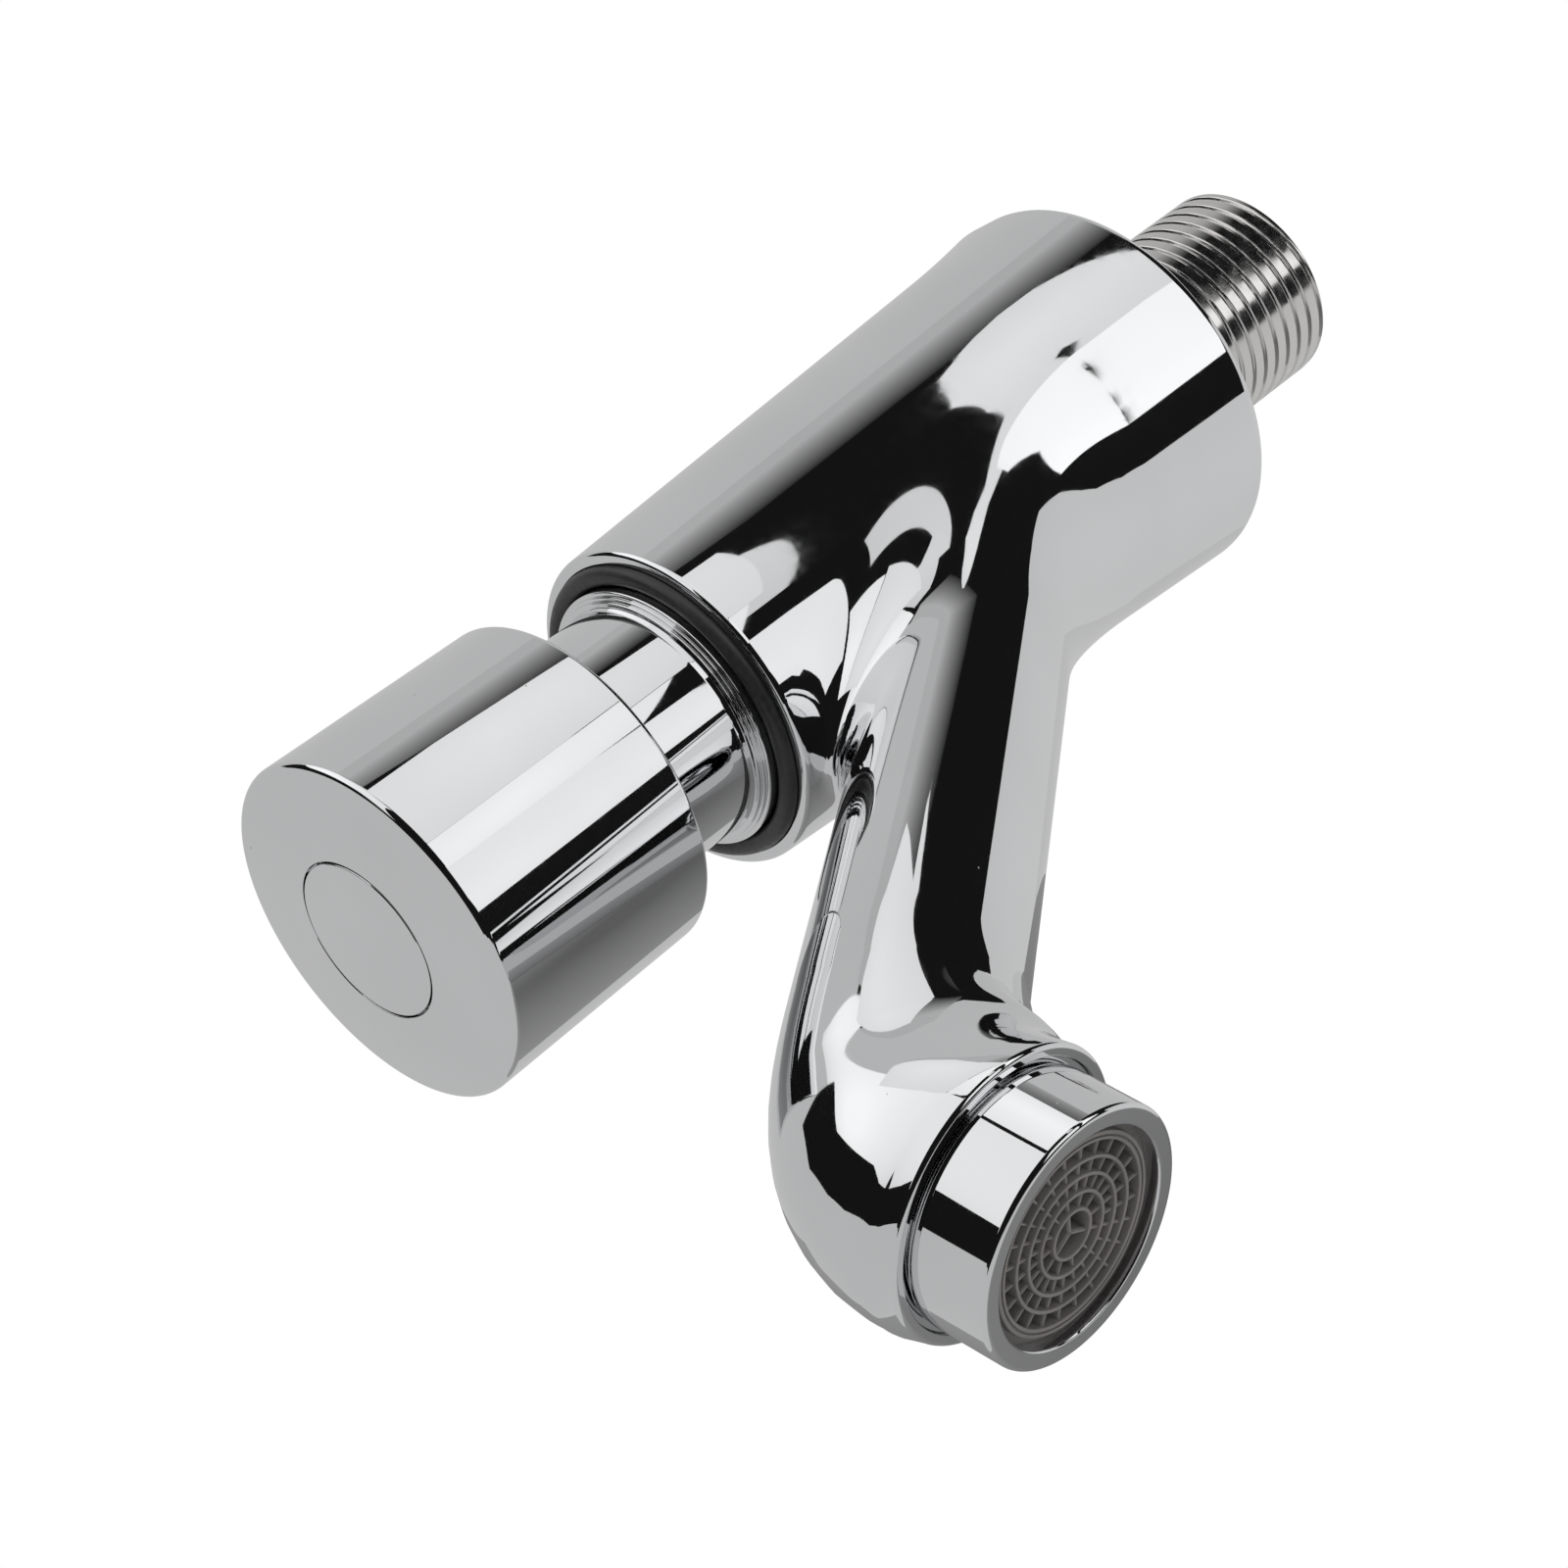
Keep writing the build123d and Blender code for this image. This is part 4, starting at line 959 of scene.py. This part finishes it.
class PUSH_TAP_OT_inlet(Operator):
    """Build the threaded inlet nipple"""

    bl_idname = "push_tap.inlet"
    bl_label = "Inlet nipple"

    def execute(self, context):
        scene = context.scene
        radius, stand_out, chamfer, start, bore, seat = in_mm(
            scene.push_tap_inlet, "radius", "stand_out", "chamfer", "thread_start", "bore_radius", "seat_radius")
        inner_end, shank, shelf = 9.47, 10.0, 1.8 - stand_out
        rows = rounded([
            (bore, inner_end, 0.1), (bore, shelf, 0.1), (seat, shelf, 0.1), (seat, -stand_out, 0.15),
            (radius - chamfer, -stand_out, 0.08), (radius, chamfer - stand_out, 0.08), (radius, 0.03 - start),
            (radius, -0.05, 0.1), (shank, -0.05, 0.05), (shank, inner_end, 0.1)], closed=True)
        rows = spaced(rows, 0.055, -stand_out, -start)
        points, faces, _ = lathe(rows, BARREL_AXIS, scene.push_tap_stage.segments, closed=True)
        piece = solid("nipple", points, faces)
        station, far = -points[:, 1], np.hypot(points[:, 0], points[:, 2])
        cut = np.clip((-start - station) / 0.6, 0, 1) * (far > radius - 0.05)
        piece.data.attributes.new("cut", "FLOAT", "POINT").data.foreach_set("value", cut)
        material = get_material(scene, "chrome_thread")
        inlet = scene.push_tap_inlet
        thread_growth(material).grow(piece, Pitch=inlet.pitch, Depth=inlet.depth)
        piece.data.attributes.remove(piece.data.attributes["cut"])
        piece.data.set_sharp_from_angle(angle=math.radians(50))
        finish_piece(piece, "tap", "chrome_thread", "inlet_nipple")
        return {"FINISHED"}


class PUSH_TAP_OT_cartridge(Operator):
    """Build the stepped collar and the bright neck behind the button"""

    bl_idname = "push_tap.cartridge"
    bl_label = "Cartridge"

    def execute(self, context):
        scene = context.scene
        neck, collar = in_mm(scene.push_tap_button, "neck_radius", "collar_radius")
        seat = scene.push_tap_casting.barrel_length / TO_METRES - COLLAR_SEAT
        rows = rounded([
            (8.6, 28.2, 0.05), (11.42, 28.2, 0.2), (11.42, GALLERY, 0.1), (10.0, GALLERY, 0.1), (10.0, DIVIDER, 0.1),
            (12.57, DIVIDER, 0.1), (12.57, SHOULDER, 0.1), (12.97, SHOULDER, 0.1), (12.97, seat, 0.05),
            (collar, seat, 0.05), (collar, seat + 2.45, 0.3), (collar - 0.42, seat + 2.45, 0.06),
            (collar - 0.42, seat + 2.75, 0.12), (collar - 0.75, seat + 2.75, 0.06), (collar - 0.75, seat + 3.1, 0.2),
            (neck + 0.2, seat + 3.1, 0.15), (neck, seat + 3.55, 0.5), (neck, 88.7, 0.5), (10.0, 88.7, 0.2),
            (10.0, 76.2, 0.1), (9.0, 76.2, 0.1), (9.0, SHOULDER, 0.1), (3.56, SHOULDER, 0.1), (3.56, DIVIDER, 0.1),
            (7.9, DIVIDER, 0.1), (7.9, 32.6, 0.1), (8.6, 32.6, 0.1)], closed=True)
        turned_piece("cartridge", rows, "tap", "chrome_turned", "cartridge_housing", closed=True)
        return {"FINISHED"}


class PUSH_TAP_OT_button(Operator):
    """Build the push button and its index disc"""

    bl_idname = "push_tap.button"
    bl_label = "Button"

    def execute(self, context):
        scene = context.scene
        names = (
            "rear_station", "cap_length", "rear_radius", "front_radius", "crown", "front_round", "rear_round",
            "disc_radius", "disc_gap", "disc_thickness")
        rear, cap, rear_radius, front_radius, crown, front_round, rear_round, disc, gap, thickness = in_mm(
            scene.push_tap_button, *names)
        front = rear + cap
        dome = (front_radius ** 2 + crown ** 2) / (2 * crown)
        centre = front + crown - dome
        inner, wall = front - 4.4, rear_radius - 2.1
        boss = inner - 5.5

        def on_dome(radius):
            return centre + math.sqrt(dome ** 2 - radius ** 2)

        floor = on_dome(disc) - thickness - 0.05
        face = [(radius, on_dome(radius)) for radius in np.linspace(disc + 0.4, front_radius - 1.2, 24)]
        rows = rounded([
            (0, floor), (disc, floor, 0.1), (disc, on_dome(disc), 0.12), *face,
            (front_radius, front, front_round), (rear_radius, rear, rear_round),
            (wall, rear, 0.4), (wall, inner, 0.6), (6.0, inner, 0.6),
            (6.0, boss, 0.3), (3.53, boss, 0.2), (3.53, inner, 0.1), (0, inner)], steps=8)
        turned_piece("button_cap", rows, "plunger", "chrome_turned", "push_button")
        edge = disc - gap
        top = [(radius, on_dome(radius)) for radius in np.linspace(edge - 0.5, 0.6, 14)]
        under = floor + 0.05
        rows = rounded([(0, under), (edge, under, 0.1), (edge, on_dome(edge), 0.15), *top, (0, on_dome(0))])
        turned_piece("index_disc", rows, "plunger", "chrome_turned", "button_disc")
        return {"FINISHED"}


class PUSH_TAP_OT_collar_seal(Operator):
    """Build the black ring in the barrel's front rim"""

    bl_idname = "push_tap.collar_seal"
    bl_label = "Collar seal"

    def execute(self, context):
        scene = context.scene
        collar, section = in_mm(scene.push_tap_button, "collar_radius", "ring_section")
        half = section / 2
        station = scene.push_tap_casting.barrel_length / TO_METRES - COLLAR_SEAT + CLEARANCE + half
        middle = collar + CLEARANCE + half
        turns = [(math.cos(turn), math.sin(turn)) for turn in full_turn(40)]
        rows = [(middle + half * out, station + half * along, out, along) for out, along in turns]
        turned_piece("collar_ring", rows, "tap", "black_rubber", "collar_o_ring", closed=True)
        return {"FINISHED"}


class PUSH_TAP_OT_aerator(Operator):
    """Build the chromed aerator ring and the grille of its insert"""

    bl_idname = "push_tap.aerator"
    bl_label = "Aerator"

    def execute(self, context):
        scene = context.scene
        self.ring(scene)
        self.insert(scene)
        return {"FINISHED"}

    def ring(self, scene):
        """Chromed ring with a spanner notch in front and behind."""
        names = (
            "ring_radius", "lip_radius", "face_drop", "stub_radius", "notch_depth", "notch_height", "notch_level")
        radius, lip, drop, stub, notch_depth, notch_height, notch_level = in_mm(scene.push_tap_outlet, *names)
        face = -scene.push_tap_casting.outlet_drop / TO_METRES - drop
        top = -scene.push_tap_casting.outlet_drop / TO_METRES + 0.2
        notch = face + notch_level
        rows = rounded([
            (stub + 0.03, top, 0.1), (radius, top, 0.45), (radius, face, 0.5), (lip, face, 0.25),
            (lip, face + FLANGE, 0.1), (10.43, face + FLANGE, 0.1), (10.43, face + 3.01, 0.1),
            (stub + 0.03, face + 3.01, 0.1)], closed=True, steps=8)
        rows = spaced(rows, 0.12, notch - notch_height, notch + notch_height)
        axis = outlet_axis(scene)
        facets = 384
        points, faces, normals = lathe(rows, axis, facets, closed=True)
        local = points - axis[0]
        far = np.hypot(local[:, 0], local[:, 1])
        steepness = 2 * notch_depth / notch_height
        for side in (-1, 1):
            limit = radius - notch_depth + np.abs(local[:, 2] - notch) * steepness
            deep = (far > radius - 0.3) & (side * local[:, 1] > limit)
            shrink = limit[deep] / (side * local[deep, 1])
            points[deep, :2] = axis[0][:2] + local[deep, :2] * shrink[:, None]
            slope = np.stack([
                np.zeros(deep.sum()), np.full(deep.sum(), float(side)),
                -np.sign(local[deep, 2] - notch) * steepness], axis=1)
            normals[deep] = unit(slope)
        piece = solid("aerator_cap", points, faces, normals)
        finish_piece(piece, "tap", "chrome_turned", "aerator_ring")

    def insert(self, scene):
        """Shell, round bars and rows of ribs of the grille, as one piece."""
        names = ("face_drop", "grille_recess", "grille_depth", "rib_width", "bar_width")
        drop, recess, depth, rib_width, bar = in_mm(scene.push_tap_outlet, *names)
        outlet = -scene.push_tap_casting.outlet_drop / TO_METRES
        face = outlet - drop + recess
        flange_low, flange_high = outlet - drop + FLANGE, outlet - 4.65
        axis = outlet_axis(scene)
        segments = scene.push_tap_stage.segments
        shell = rounded([
            (8.1, face + depth, 0.1), (8.1, flange_high + 5.4, 0.2), (8.9, flange_high + 5.4, 0.2),
            (8.9, flange_high, 0.1),
            (10.4, flange_high, 0.1), (10.4, flange_low, 0.1), (9.2, flange_low, 0.1), (9.2, face, 0.12),
            (8.85, face, 0.06), (8.85, face + 0.22, 0.05), (8.66, face + 0.22, 0.05), (8.66, face, 0.06),
            (8.35, face, 0.12), (8.35, face + depth, 0.05)], closed=True, steps=3)
        meshes = [lathe(shell, axis, segments, closed=True)]
        radii = (2.25, 3.85, 5.4, 6.9, 8.35)
        for radius in radii[:-1]:
            half = bar / 2
            rows = rounded([
                (radius - half, face + depth, 0.05), (radius + half, face + depth, 0.05),
                (radius + half * 0.8, face, half * 0.7), (radius - half * 0.8, face, half * 0.7)],
                closed=True, steps=3)
            meshes.append(lathe(rows, axis, 96, closed=True))
        material = get_material(scene, "grey_plastic")
        pieces = [solid("bar", *part) for part in meshes]
        growth = rib_growth(material)
        for inner, outer, count in zip(radii, radii[1:], (12, 24, 24, 24)):
            pieces.append(self.ribs(growth, material, inner, outer, count, face, depth, rib_width, axis))
        pieces.append(self.ribs(growth, material, 0.0, radii[0], 3, face, depth, rib_width * 1.3, axis))
        piece = joined("grille_insert", pieces)
        finish_piece(piece, "tap", "grey_plastic", "aerator_insert")

    def ribs(self, growth, material, inner, outer, count, face, depth, width, axis):
        """Ring of tapered ribs with rounded edges between two bars."""
        length_of, half = outer - inner, width / 2
        low, high = face + 0.3, face + depth
        outline = [
            (-half * 1.3, high), (half * 1.3, high), (half, low + half), (half * 0.5, low), (-half * 0.5, low),
            (-half, low + half)]
        middle = (inner + outer) / 2
        points = [(along * length_of / 2, across, level) for along in (-1, 1) for across, level in outline]
        faces = [[i, (i + 1) % 6, 6 + (i + 1) % 6, 6 + i] for i in range(6)]
        faces += [[5, 4, 3, 2, 1, 0], [6, 7, 8, 9, 10, 11]]
        mesh = bpy.data.meshes.new("rib")
        mesh.from_pydata((np.array(points) * TO_METRES).tolist(), [], faces)
        piece = placed("rib", mesh)
        mesh.materials.append(material)
        growth.grow(piece, Count=count, Radius=middle * TO_METRES)
        piece.data.transform(Matrix.Translation(Vector(axis[0]) * TO_METRES))
        return piece


def joined(name, pieces):
    """One object from several meshes, in place."""
    mesh = bpy.data.meshes.new(name)
    work = bmesh.new()
    for piece in pieces:
        work.from_mesh(piece.data)
        bpy.data.objects.remove(piece)
    work.to_mesh(mesh)
    work.free()
    mesh.shade_smooth()
    mesh.set_sharp_from_angle(angle=math.radians(35))
    return placed(name, mesh)


class PUSH_TAP_OT_spring(Operator):
    """Build the return spring"""

    bl_idname = "push_tap.spring"
    bl_label = "Return spring"

    def execute(self, context):
        scene = context.scene
        low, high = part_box("return_spring")
        front, rear = low.y, high.y
        wire, mean = 0.00065, 0.0063
        growth = Growth("coil")
        turns, coil_radius, wire_radius, rise = (growth.size(name) for name in ("Turns", "Radius", "Wire", "Rise"))
        spiral = growth.add("GeometryNodeCurveSpiral", {
            "Resolution": 40, "Rotations": turns, "Start Radius": coil_radius, "End Radius": coil_radius,
            "Height": rise})
        ring = growth.add("GeometryNodeCurvePrimitiveCircle", {"Resolution": 14, "Radius": wire_radius})
        tube = growth.add("GeometryNodeCurveToMesh", {
            "Curve": spiral.outputs[0], "Profile Curve": ring.outputs[0], "Fill Caps": True}).outputs[0]
        turned = growth.add("GeometryNodeTransform", {
            "Geometry": tube, "Rotation": (math.pi / 2, 0, 0)}).outputs[0]
        material = get_material(scene, "spring_steel")
        growth.finish(turned, material)
        piece = placed("push_spring", bpy.data.meshes.new("push_spring"))
        growth.grow(piece, Turns=5.0, Radius=mean, Wire=wire, Rise=rear - front - 2 * wire)
        start = np.array([vertex.co.y for vertex in piece.data.vertices])
        piece.data.transform(Matrix.Translation((0, rear - start.max(), 0)))
        piece.data.shade_smooth()
        finish_piece(piece, "tap", "spring_steel", "return_spring")
        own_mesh(piece)
        return {"FINISHED"}


class PUSH_TAP_OT_inside(Operator):
    """Give the parts inside the tap their finishes"""

    bl_idname = "push_tap.inside"
    bl_label = "Inside parts"

    def execute(self, context):
        for part in frame["record"]["subparts"]:
            node = frame["nodes"][part["node"]]
            if node.hide_render:
                continue
            material = get_material(context.scene, part["material_slot"])
            if not node.material_slots:
                node.data.materials.append(material)
            for place in node.material_slots:
                place.material = material
        return {"FINISHED"}


class PUSH_TAP_OT_stage(Operator):
    """Set up the camera, the world, the white floor, the grey room and the cards"""

    bl_idname = "push_tap.stage"
    bl_label = "Stage"

    def execute(self, context):
        scene = context.scene
        self.camera(scene)
        self.world(scene)
        self.floor(scene)
        self.room(scene)
        for card in BOWLS:
            self.bowl(*card)
        for card in SHEETS:
            self.sheet(*card)
        scene.view_settings.view_transform = "Standard"
        return {"FINISHED"}

    def camera(self, scene):
        """Camera at the photograph's angle."""
        camera = placed("camera", bpy.data.cameras.new("camera"))
        camera.data.lens = scene.push_tap_stage.lens
        camera.data.sensor_width = 36.0
        turn = Matrix((CAMERA_RIGHT, CAMERA_UP, CAMERA_BACK)).transposed().to_4x4()
        camera.matrix_world = Matrix.Translation(CAMERA_PLACE) @ turn
        camera.data.clip_start, camera.data.clip_end = 0.01, 50.0
        scene.camera = camera

    def world(self, scene):
        """White to the camera and in mirrors, a little dimmer as a light."""
        world = bpy.data.worlds.new("studio")
        world.use_nodes = True
        scene.world = world
        nodes = Tree(world.node_tree)
        level = nodes.add("ShaderNodeMapRange", {"Value": nodes.seen(), "To Min": 0.75, "To Max": 1.0})
        back = world.node_tree.nodes["Background"]
        nodes.feed(back.inputs["Color"], (1, 1, 1, 1))
        nodes.feed(back.inputs["Strength"], level.outputs[0])

    def floor(self, scene):
        """Pale floor far below, nearly white to the camera."""
        half = scene.push_tap_stage.floor_size / 2
        level = scene.push_tap_stage.floor_level
        corners = [(x * half, y * half, level) for x, y in ((-1, -1), (1, -1), (1, 1), (-1, 1))]
        mesh = bpy.data.meshes.new("floor")
        mesh.from_pydata(corners, [], [(0, 1, 2, 3)])
        nodes = Nodes("floor")
        nodes.feed(nodes.shader.inputs["Base Color"], (0.9, 0.9, 0.9, 1))
        nodes.feed(nodes.shader.inputs["Roughness"], 0.8)
        share = nodes.math("MULTIPLY", nodes.seen(), 0.9)
        mixed = nodes.add("ShaderNodeMixShader", {0: share, 1: nodes.shader.outputs[0], 2: nodes.glow(1.0)})
        mesh.materials.append(nodes.show(mixed.outputs[0]))
        placed("floor", mesh)

    def reflected(self, name, points, faces, level, fall=0.0, rise=None):
        """Glowing surface that only reflections see, dimmer by a share at its rim or dark below a height."""
        mesh = bpy.data.meshes.new(name)
        mesh.from_pydata(points, [], faces)
        card = placed(name, mesh)
        nodes = Nodes(name)
        middle = sum(points, Vector()) / len(points)
        reach = max(max((point - middle).length for point in points), TINY)
        away = nodes.add(
            "ShaderNodeVectorMath", {0: nodes.place, 1: middle}, operation="DISTANCE").outputs["Value"]
        strength = nodes.ramp(nodes.math("DIVIDE", away, reach), 0.1, 0.9, level, level * (1 - fall))
        if rise:
            height = nodes.add("ShaderNodeSeparateXYZ", {0: nodes.place}).outputs[2]
            strength = nodes.ramp(height, *rise, 0.0, level)
        mesh.materials.append(nodes.show(nodes.glow(strength)))
        for ray in ("camera", "diffuse", "shadow", "transmission", "volume_scatter"):
            setattr(card, f"visible_{ray}", False)

    def room(self, scene):
        """Grey room round the tap."""
        half = scene.push_tap_stage.room_size / 2
        corners = [Vector((x, y, z)) * half for x in (-1, 1) for y in (-1, 1) for z in (-1, 1)]
        faces = [(0, 1, 3, 2), (4, 5, 7, 6), (0, 1, 5, 4), (2, 3, 7, 6), (0, 2, 6, 4), (1, 3, 7, 5)]
        self.reflected("room", corners, faces, ROOM_LEVEL)

    def sheet(self, name, level, fall, rise, place, corners):
        """Flat card across the X axis; corners are (y, z)."""
        points = [Vector((place, *corner)) for corner in corners]
        self.reflected(name, points, [tuple(range(len(points)))], level, fall, rise)

    def bowl(self, name, level, fall, eye, distance, corners):
        """Bowl-shaped card round an eye point; corners are degrees from +X towards +Y and towards +Z."""
        corners = np.array(corners, float)
        shares = np.arange(6)[:, None] / 6
        rim = np.concatenate([
            start + (end - start) * shares for start, end in zip(corners, np.roll(corners, -1, axis=0))])
        middle = corners.mean(axis=0)
        rings = 12
        points = []
        for ring in range(rings + 1):
            for across, up in middle + (rim - middle) * (0.02 + 0.98 * ring / rings):
                turn, lean = math.radians(math.hypot(across, up)), math.atan2(up, across)
                side = math.sin(turn)
                aim = Vector((math.cos(turn), side * math.cos(lean), side * math.sin(lean)))
                points.append(Vector(eye) + aim * distance)
        faces = tube_faces(rings + 1, len(rim)) + [tuple(range(len(rim)))]
        self.reflected(name, points, faces, level, fall)


# Cards. Their corners and levels were fitted to the highlights in the photo, for the stage's own camera; from
# other sides they are only patches of light and dark.
# Bowls: name, level, share lost towards the rim, eye point and distance in metres, corners in degrees.
BOWLS = (
    ("dark room", 0.008, 0.0, (0.010, -0.055, -0.025), 0.80, (
        (-88, -40), (-88, 18), (-76, 52), (-64, 68), (-44, 85), (-20, 90), (-8, 80), (2, 68), (9, 58), (22, 52),
        (34, 48), (46, 38), (60, 24), (88, 22), (96, 8), (85, -8), (76, -20), (66, -30), (66, -40), (69, -50),
        (69, -57), (62, -68), (50, -77), (30, -84), (-20, -86), (-60, -66))),
    ("pale wall", 0.68, 0.1, (0.010, -0.040, -0.020), 0.86, (
        (60, -10), (100, 30), (140, 20), (150, -30), (130, -80), (100, -110), (50, -130), (20, -110), (40, -70))),
)
# Sheets: name, level, share lost towards the rim, heights between which the light rises, X and corners in metres.
# The two button softboxes stand close to the tap, because no single plane served both button and barrel.
SHEETS = (
    ("front softbox", 0.80, 0.1, None, 0.265, (
        (-0.042, 0.10), (-0.003, 0.195), (0.017, 0.235), (0.045, 0.165), (0.052, 0.06), (0.074, 0.04),
        (0.078, 0.0), (0.080, -0.05), (0.086, -0.125), (0.05, -0.125), (0.048, 0.0), (0.02, 0.04), (-0.03, 0.06))),
    ("front softbox, lower panel", 1.02, 0.1, None, 0.265, (
        (-0.05, -0.20), (0.10, -0.20), (0.135, -0.215), (0.16, -0.26), (0.28, -0.48), (0.56, -1.0), (0.46, -1.06),
        (0.227, -0.6), (0.06, -0.476), (-0.05, -0.42))),
    ("button softbox", 0.95, 0.1, None, 0.06, (
        (-0.085, -0.0255), (-0.085, 0.0225), (-0.064, 0.0235), (-0.0475, 0.0185), (-0.034, 0.013),
        (-0.034, -0.0235))),
    ("button softbox, lower panel", 1.10, 0.1, None, 0.06, (
        (-0.085, -0.026), (-0.036, -0.024), (-0.036, -0.048), (-0.085, -0.048))),
    ("rear softbox", 0.92, 0.1, None, 0.265, (
        (0.114, 0.012), (0.124, 0.056), (0.131, 0.086), (0.144, 0.113), (0.154, 0.128), (0.164, 0.139),
        (0.171, 0.134), (0.170, 0.097), (0.165, 0.036), (0.164, -0.011), (0.168, -0.064), (0.190, -0.125),
        (0.148, -0.105), (0.146, -0.067), (0.128, -0.034))),
    ("rear softbox, lower panel", 1.22, 0.1, None, 0.262, (
        (0.140, -0.088), (0.163, -0.090), (0.20, -0.118), (0.273, -0.207), (0.45, -0.345), (0.70, -0.555),
        (0.99, -0.87), (0.74, -0.92), (0.62, -1.0), (0.50, -0.95), (0.41, -0.65), (0.27, -0.40), (0.19, -0.238),
        (0.155, -0.13))),
    ("upper softbox", 1.18, 0.55, None, 0.265, (
        (-0.60, 0.12), (-0.56, 0.19), (-0.42, 0.24), (-0.39, 0.40), (-0.32, 0.72), (-0.28, 1.4), (-0.03, 1.4),
        (0.0, 0.72), (0.022, 0.42), (0.03, 0.30), (0.003, 0.235), (-0.010, 0.205), (-0.026, 0.15),
        (-0.056, 0.08), (-0.056, 0.02))),
    ("upper wall", 0.50, 0.0, (0.11, 0.28), 0.275, (
        (0.04, 0.38), (0.04, 0.25), (0.10, 0.12), (0.40, 0.12), (0.40, 0.38))),
    ("table shade", 0.13, -1.6, None, -0.045, (
        (-0.005, -0.13), (-0.004, -0.10), (-0.004, -0.06), (-0.005, -0.03), (-0.02, -0.012), (-0.11, -0.012),
        (-0.115, -0.08), (-0.09, -0.14))),
)


class PUSH_TAP_PT_panel(Panel):
    """Lists the pieces and their sizes"""

    bl_idname = "PUSH_TAP_PT_panel"
    bl_label = "Push tap"
    bl_space_type = "VIEW_3D"
    bl_region_type = "UI"
    bl_category = "Push tap"

    def draw(self, context):
        layout = self.layout
        for operator in OPERATORS:
            layout.operator(operator.bl_idname)
        for group, kind in GROUPS.items():
            box = layout.box()
            box.label(text=kind.__doc__)
            for name in kind.__annotations__:
                box.prop(getattr(context.scene, group), name)


GROUPS = {
    "push_tap_casting": PushTapCasting,
    "push_tap_button": PushTapButton,
    "push_tap_outlet": PushTapOutlet,
    "push_tap_inlet": PushTapInlet,
    "push_tap_finish": PushTapFinish,
    "push_tap_stage": PushTapStage,
}
OPERATORS = (
    PUSH_TAP_OT_casting,
    PUSH_TAP_OT_inlet,
    PUSH_TAP_OT_cartridge,
    PUSH_TAP_OT_button,
    PUSH_TAP_OT_collar_seal,
    PUSH_TAP_OT_aerator,
    PUSH_TAP_OT_spring,
    PUSH_TAP_OT_inside,
    PUSH_TAP_OT_stage,
)


def register():
    """Adds the groups, the operators and the panel."""
    for kind in (*GROUPS.values(), *OPERATORS, PUSH_TAP_PT_panel):
        bpy.utils.register_class(kind)
    for name, kind in GROUPS.items():
        setattr(bpy.types.Scene, name, PointerProperty(type=kind))


def unregister():
    """Removes what register added."""
    for name in GROUPS:
        delattr(bpy.types.Scene, name)
    for kind in reversed((*GROUPS.values(), *OPERATORS, PUSH_TAP_PT_panel)):
        bpy.utils.unregister_class(kind)


def main():
    """Makes every piece and the stage."""
    register()
    bpy.ops.push_tap.casting()
    bpy.ops.push_tap.inlet()
    bpy.ops.push_tap.cartridge()
    bpy.ops.push_tap.button()
    bpy.ops.push_tap.collar_seal()
    bpy.ops.push_tap.aerator()
    bpy.ops.push_tap.spring()
    bpy.ops.push_tap.inside()
    bpy.ops.push_tap.stage()


if __name__ == "__main__":
    main()
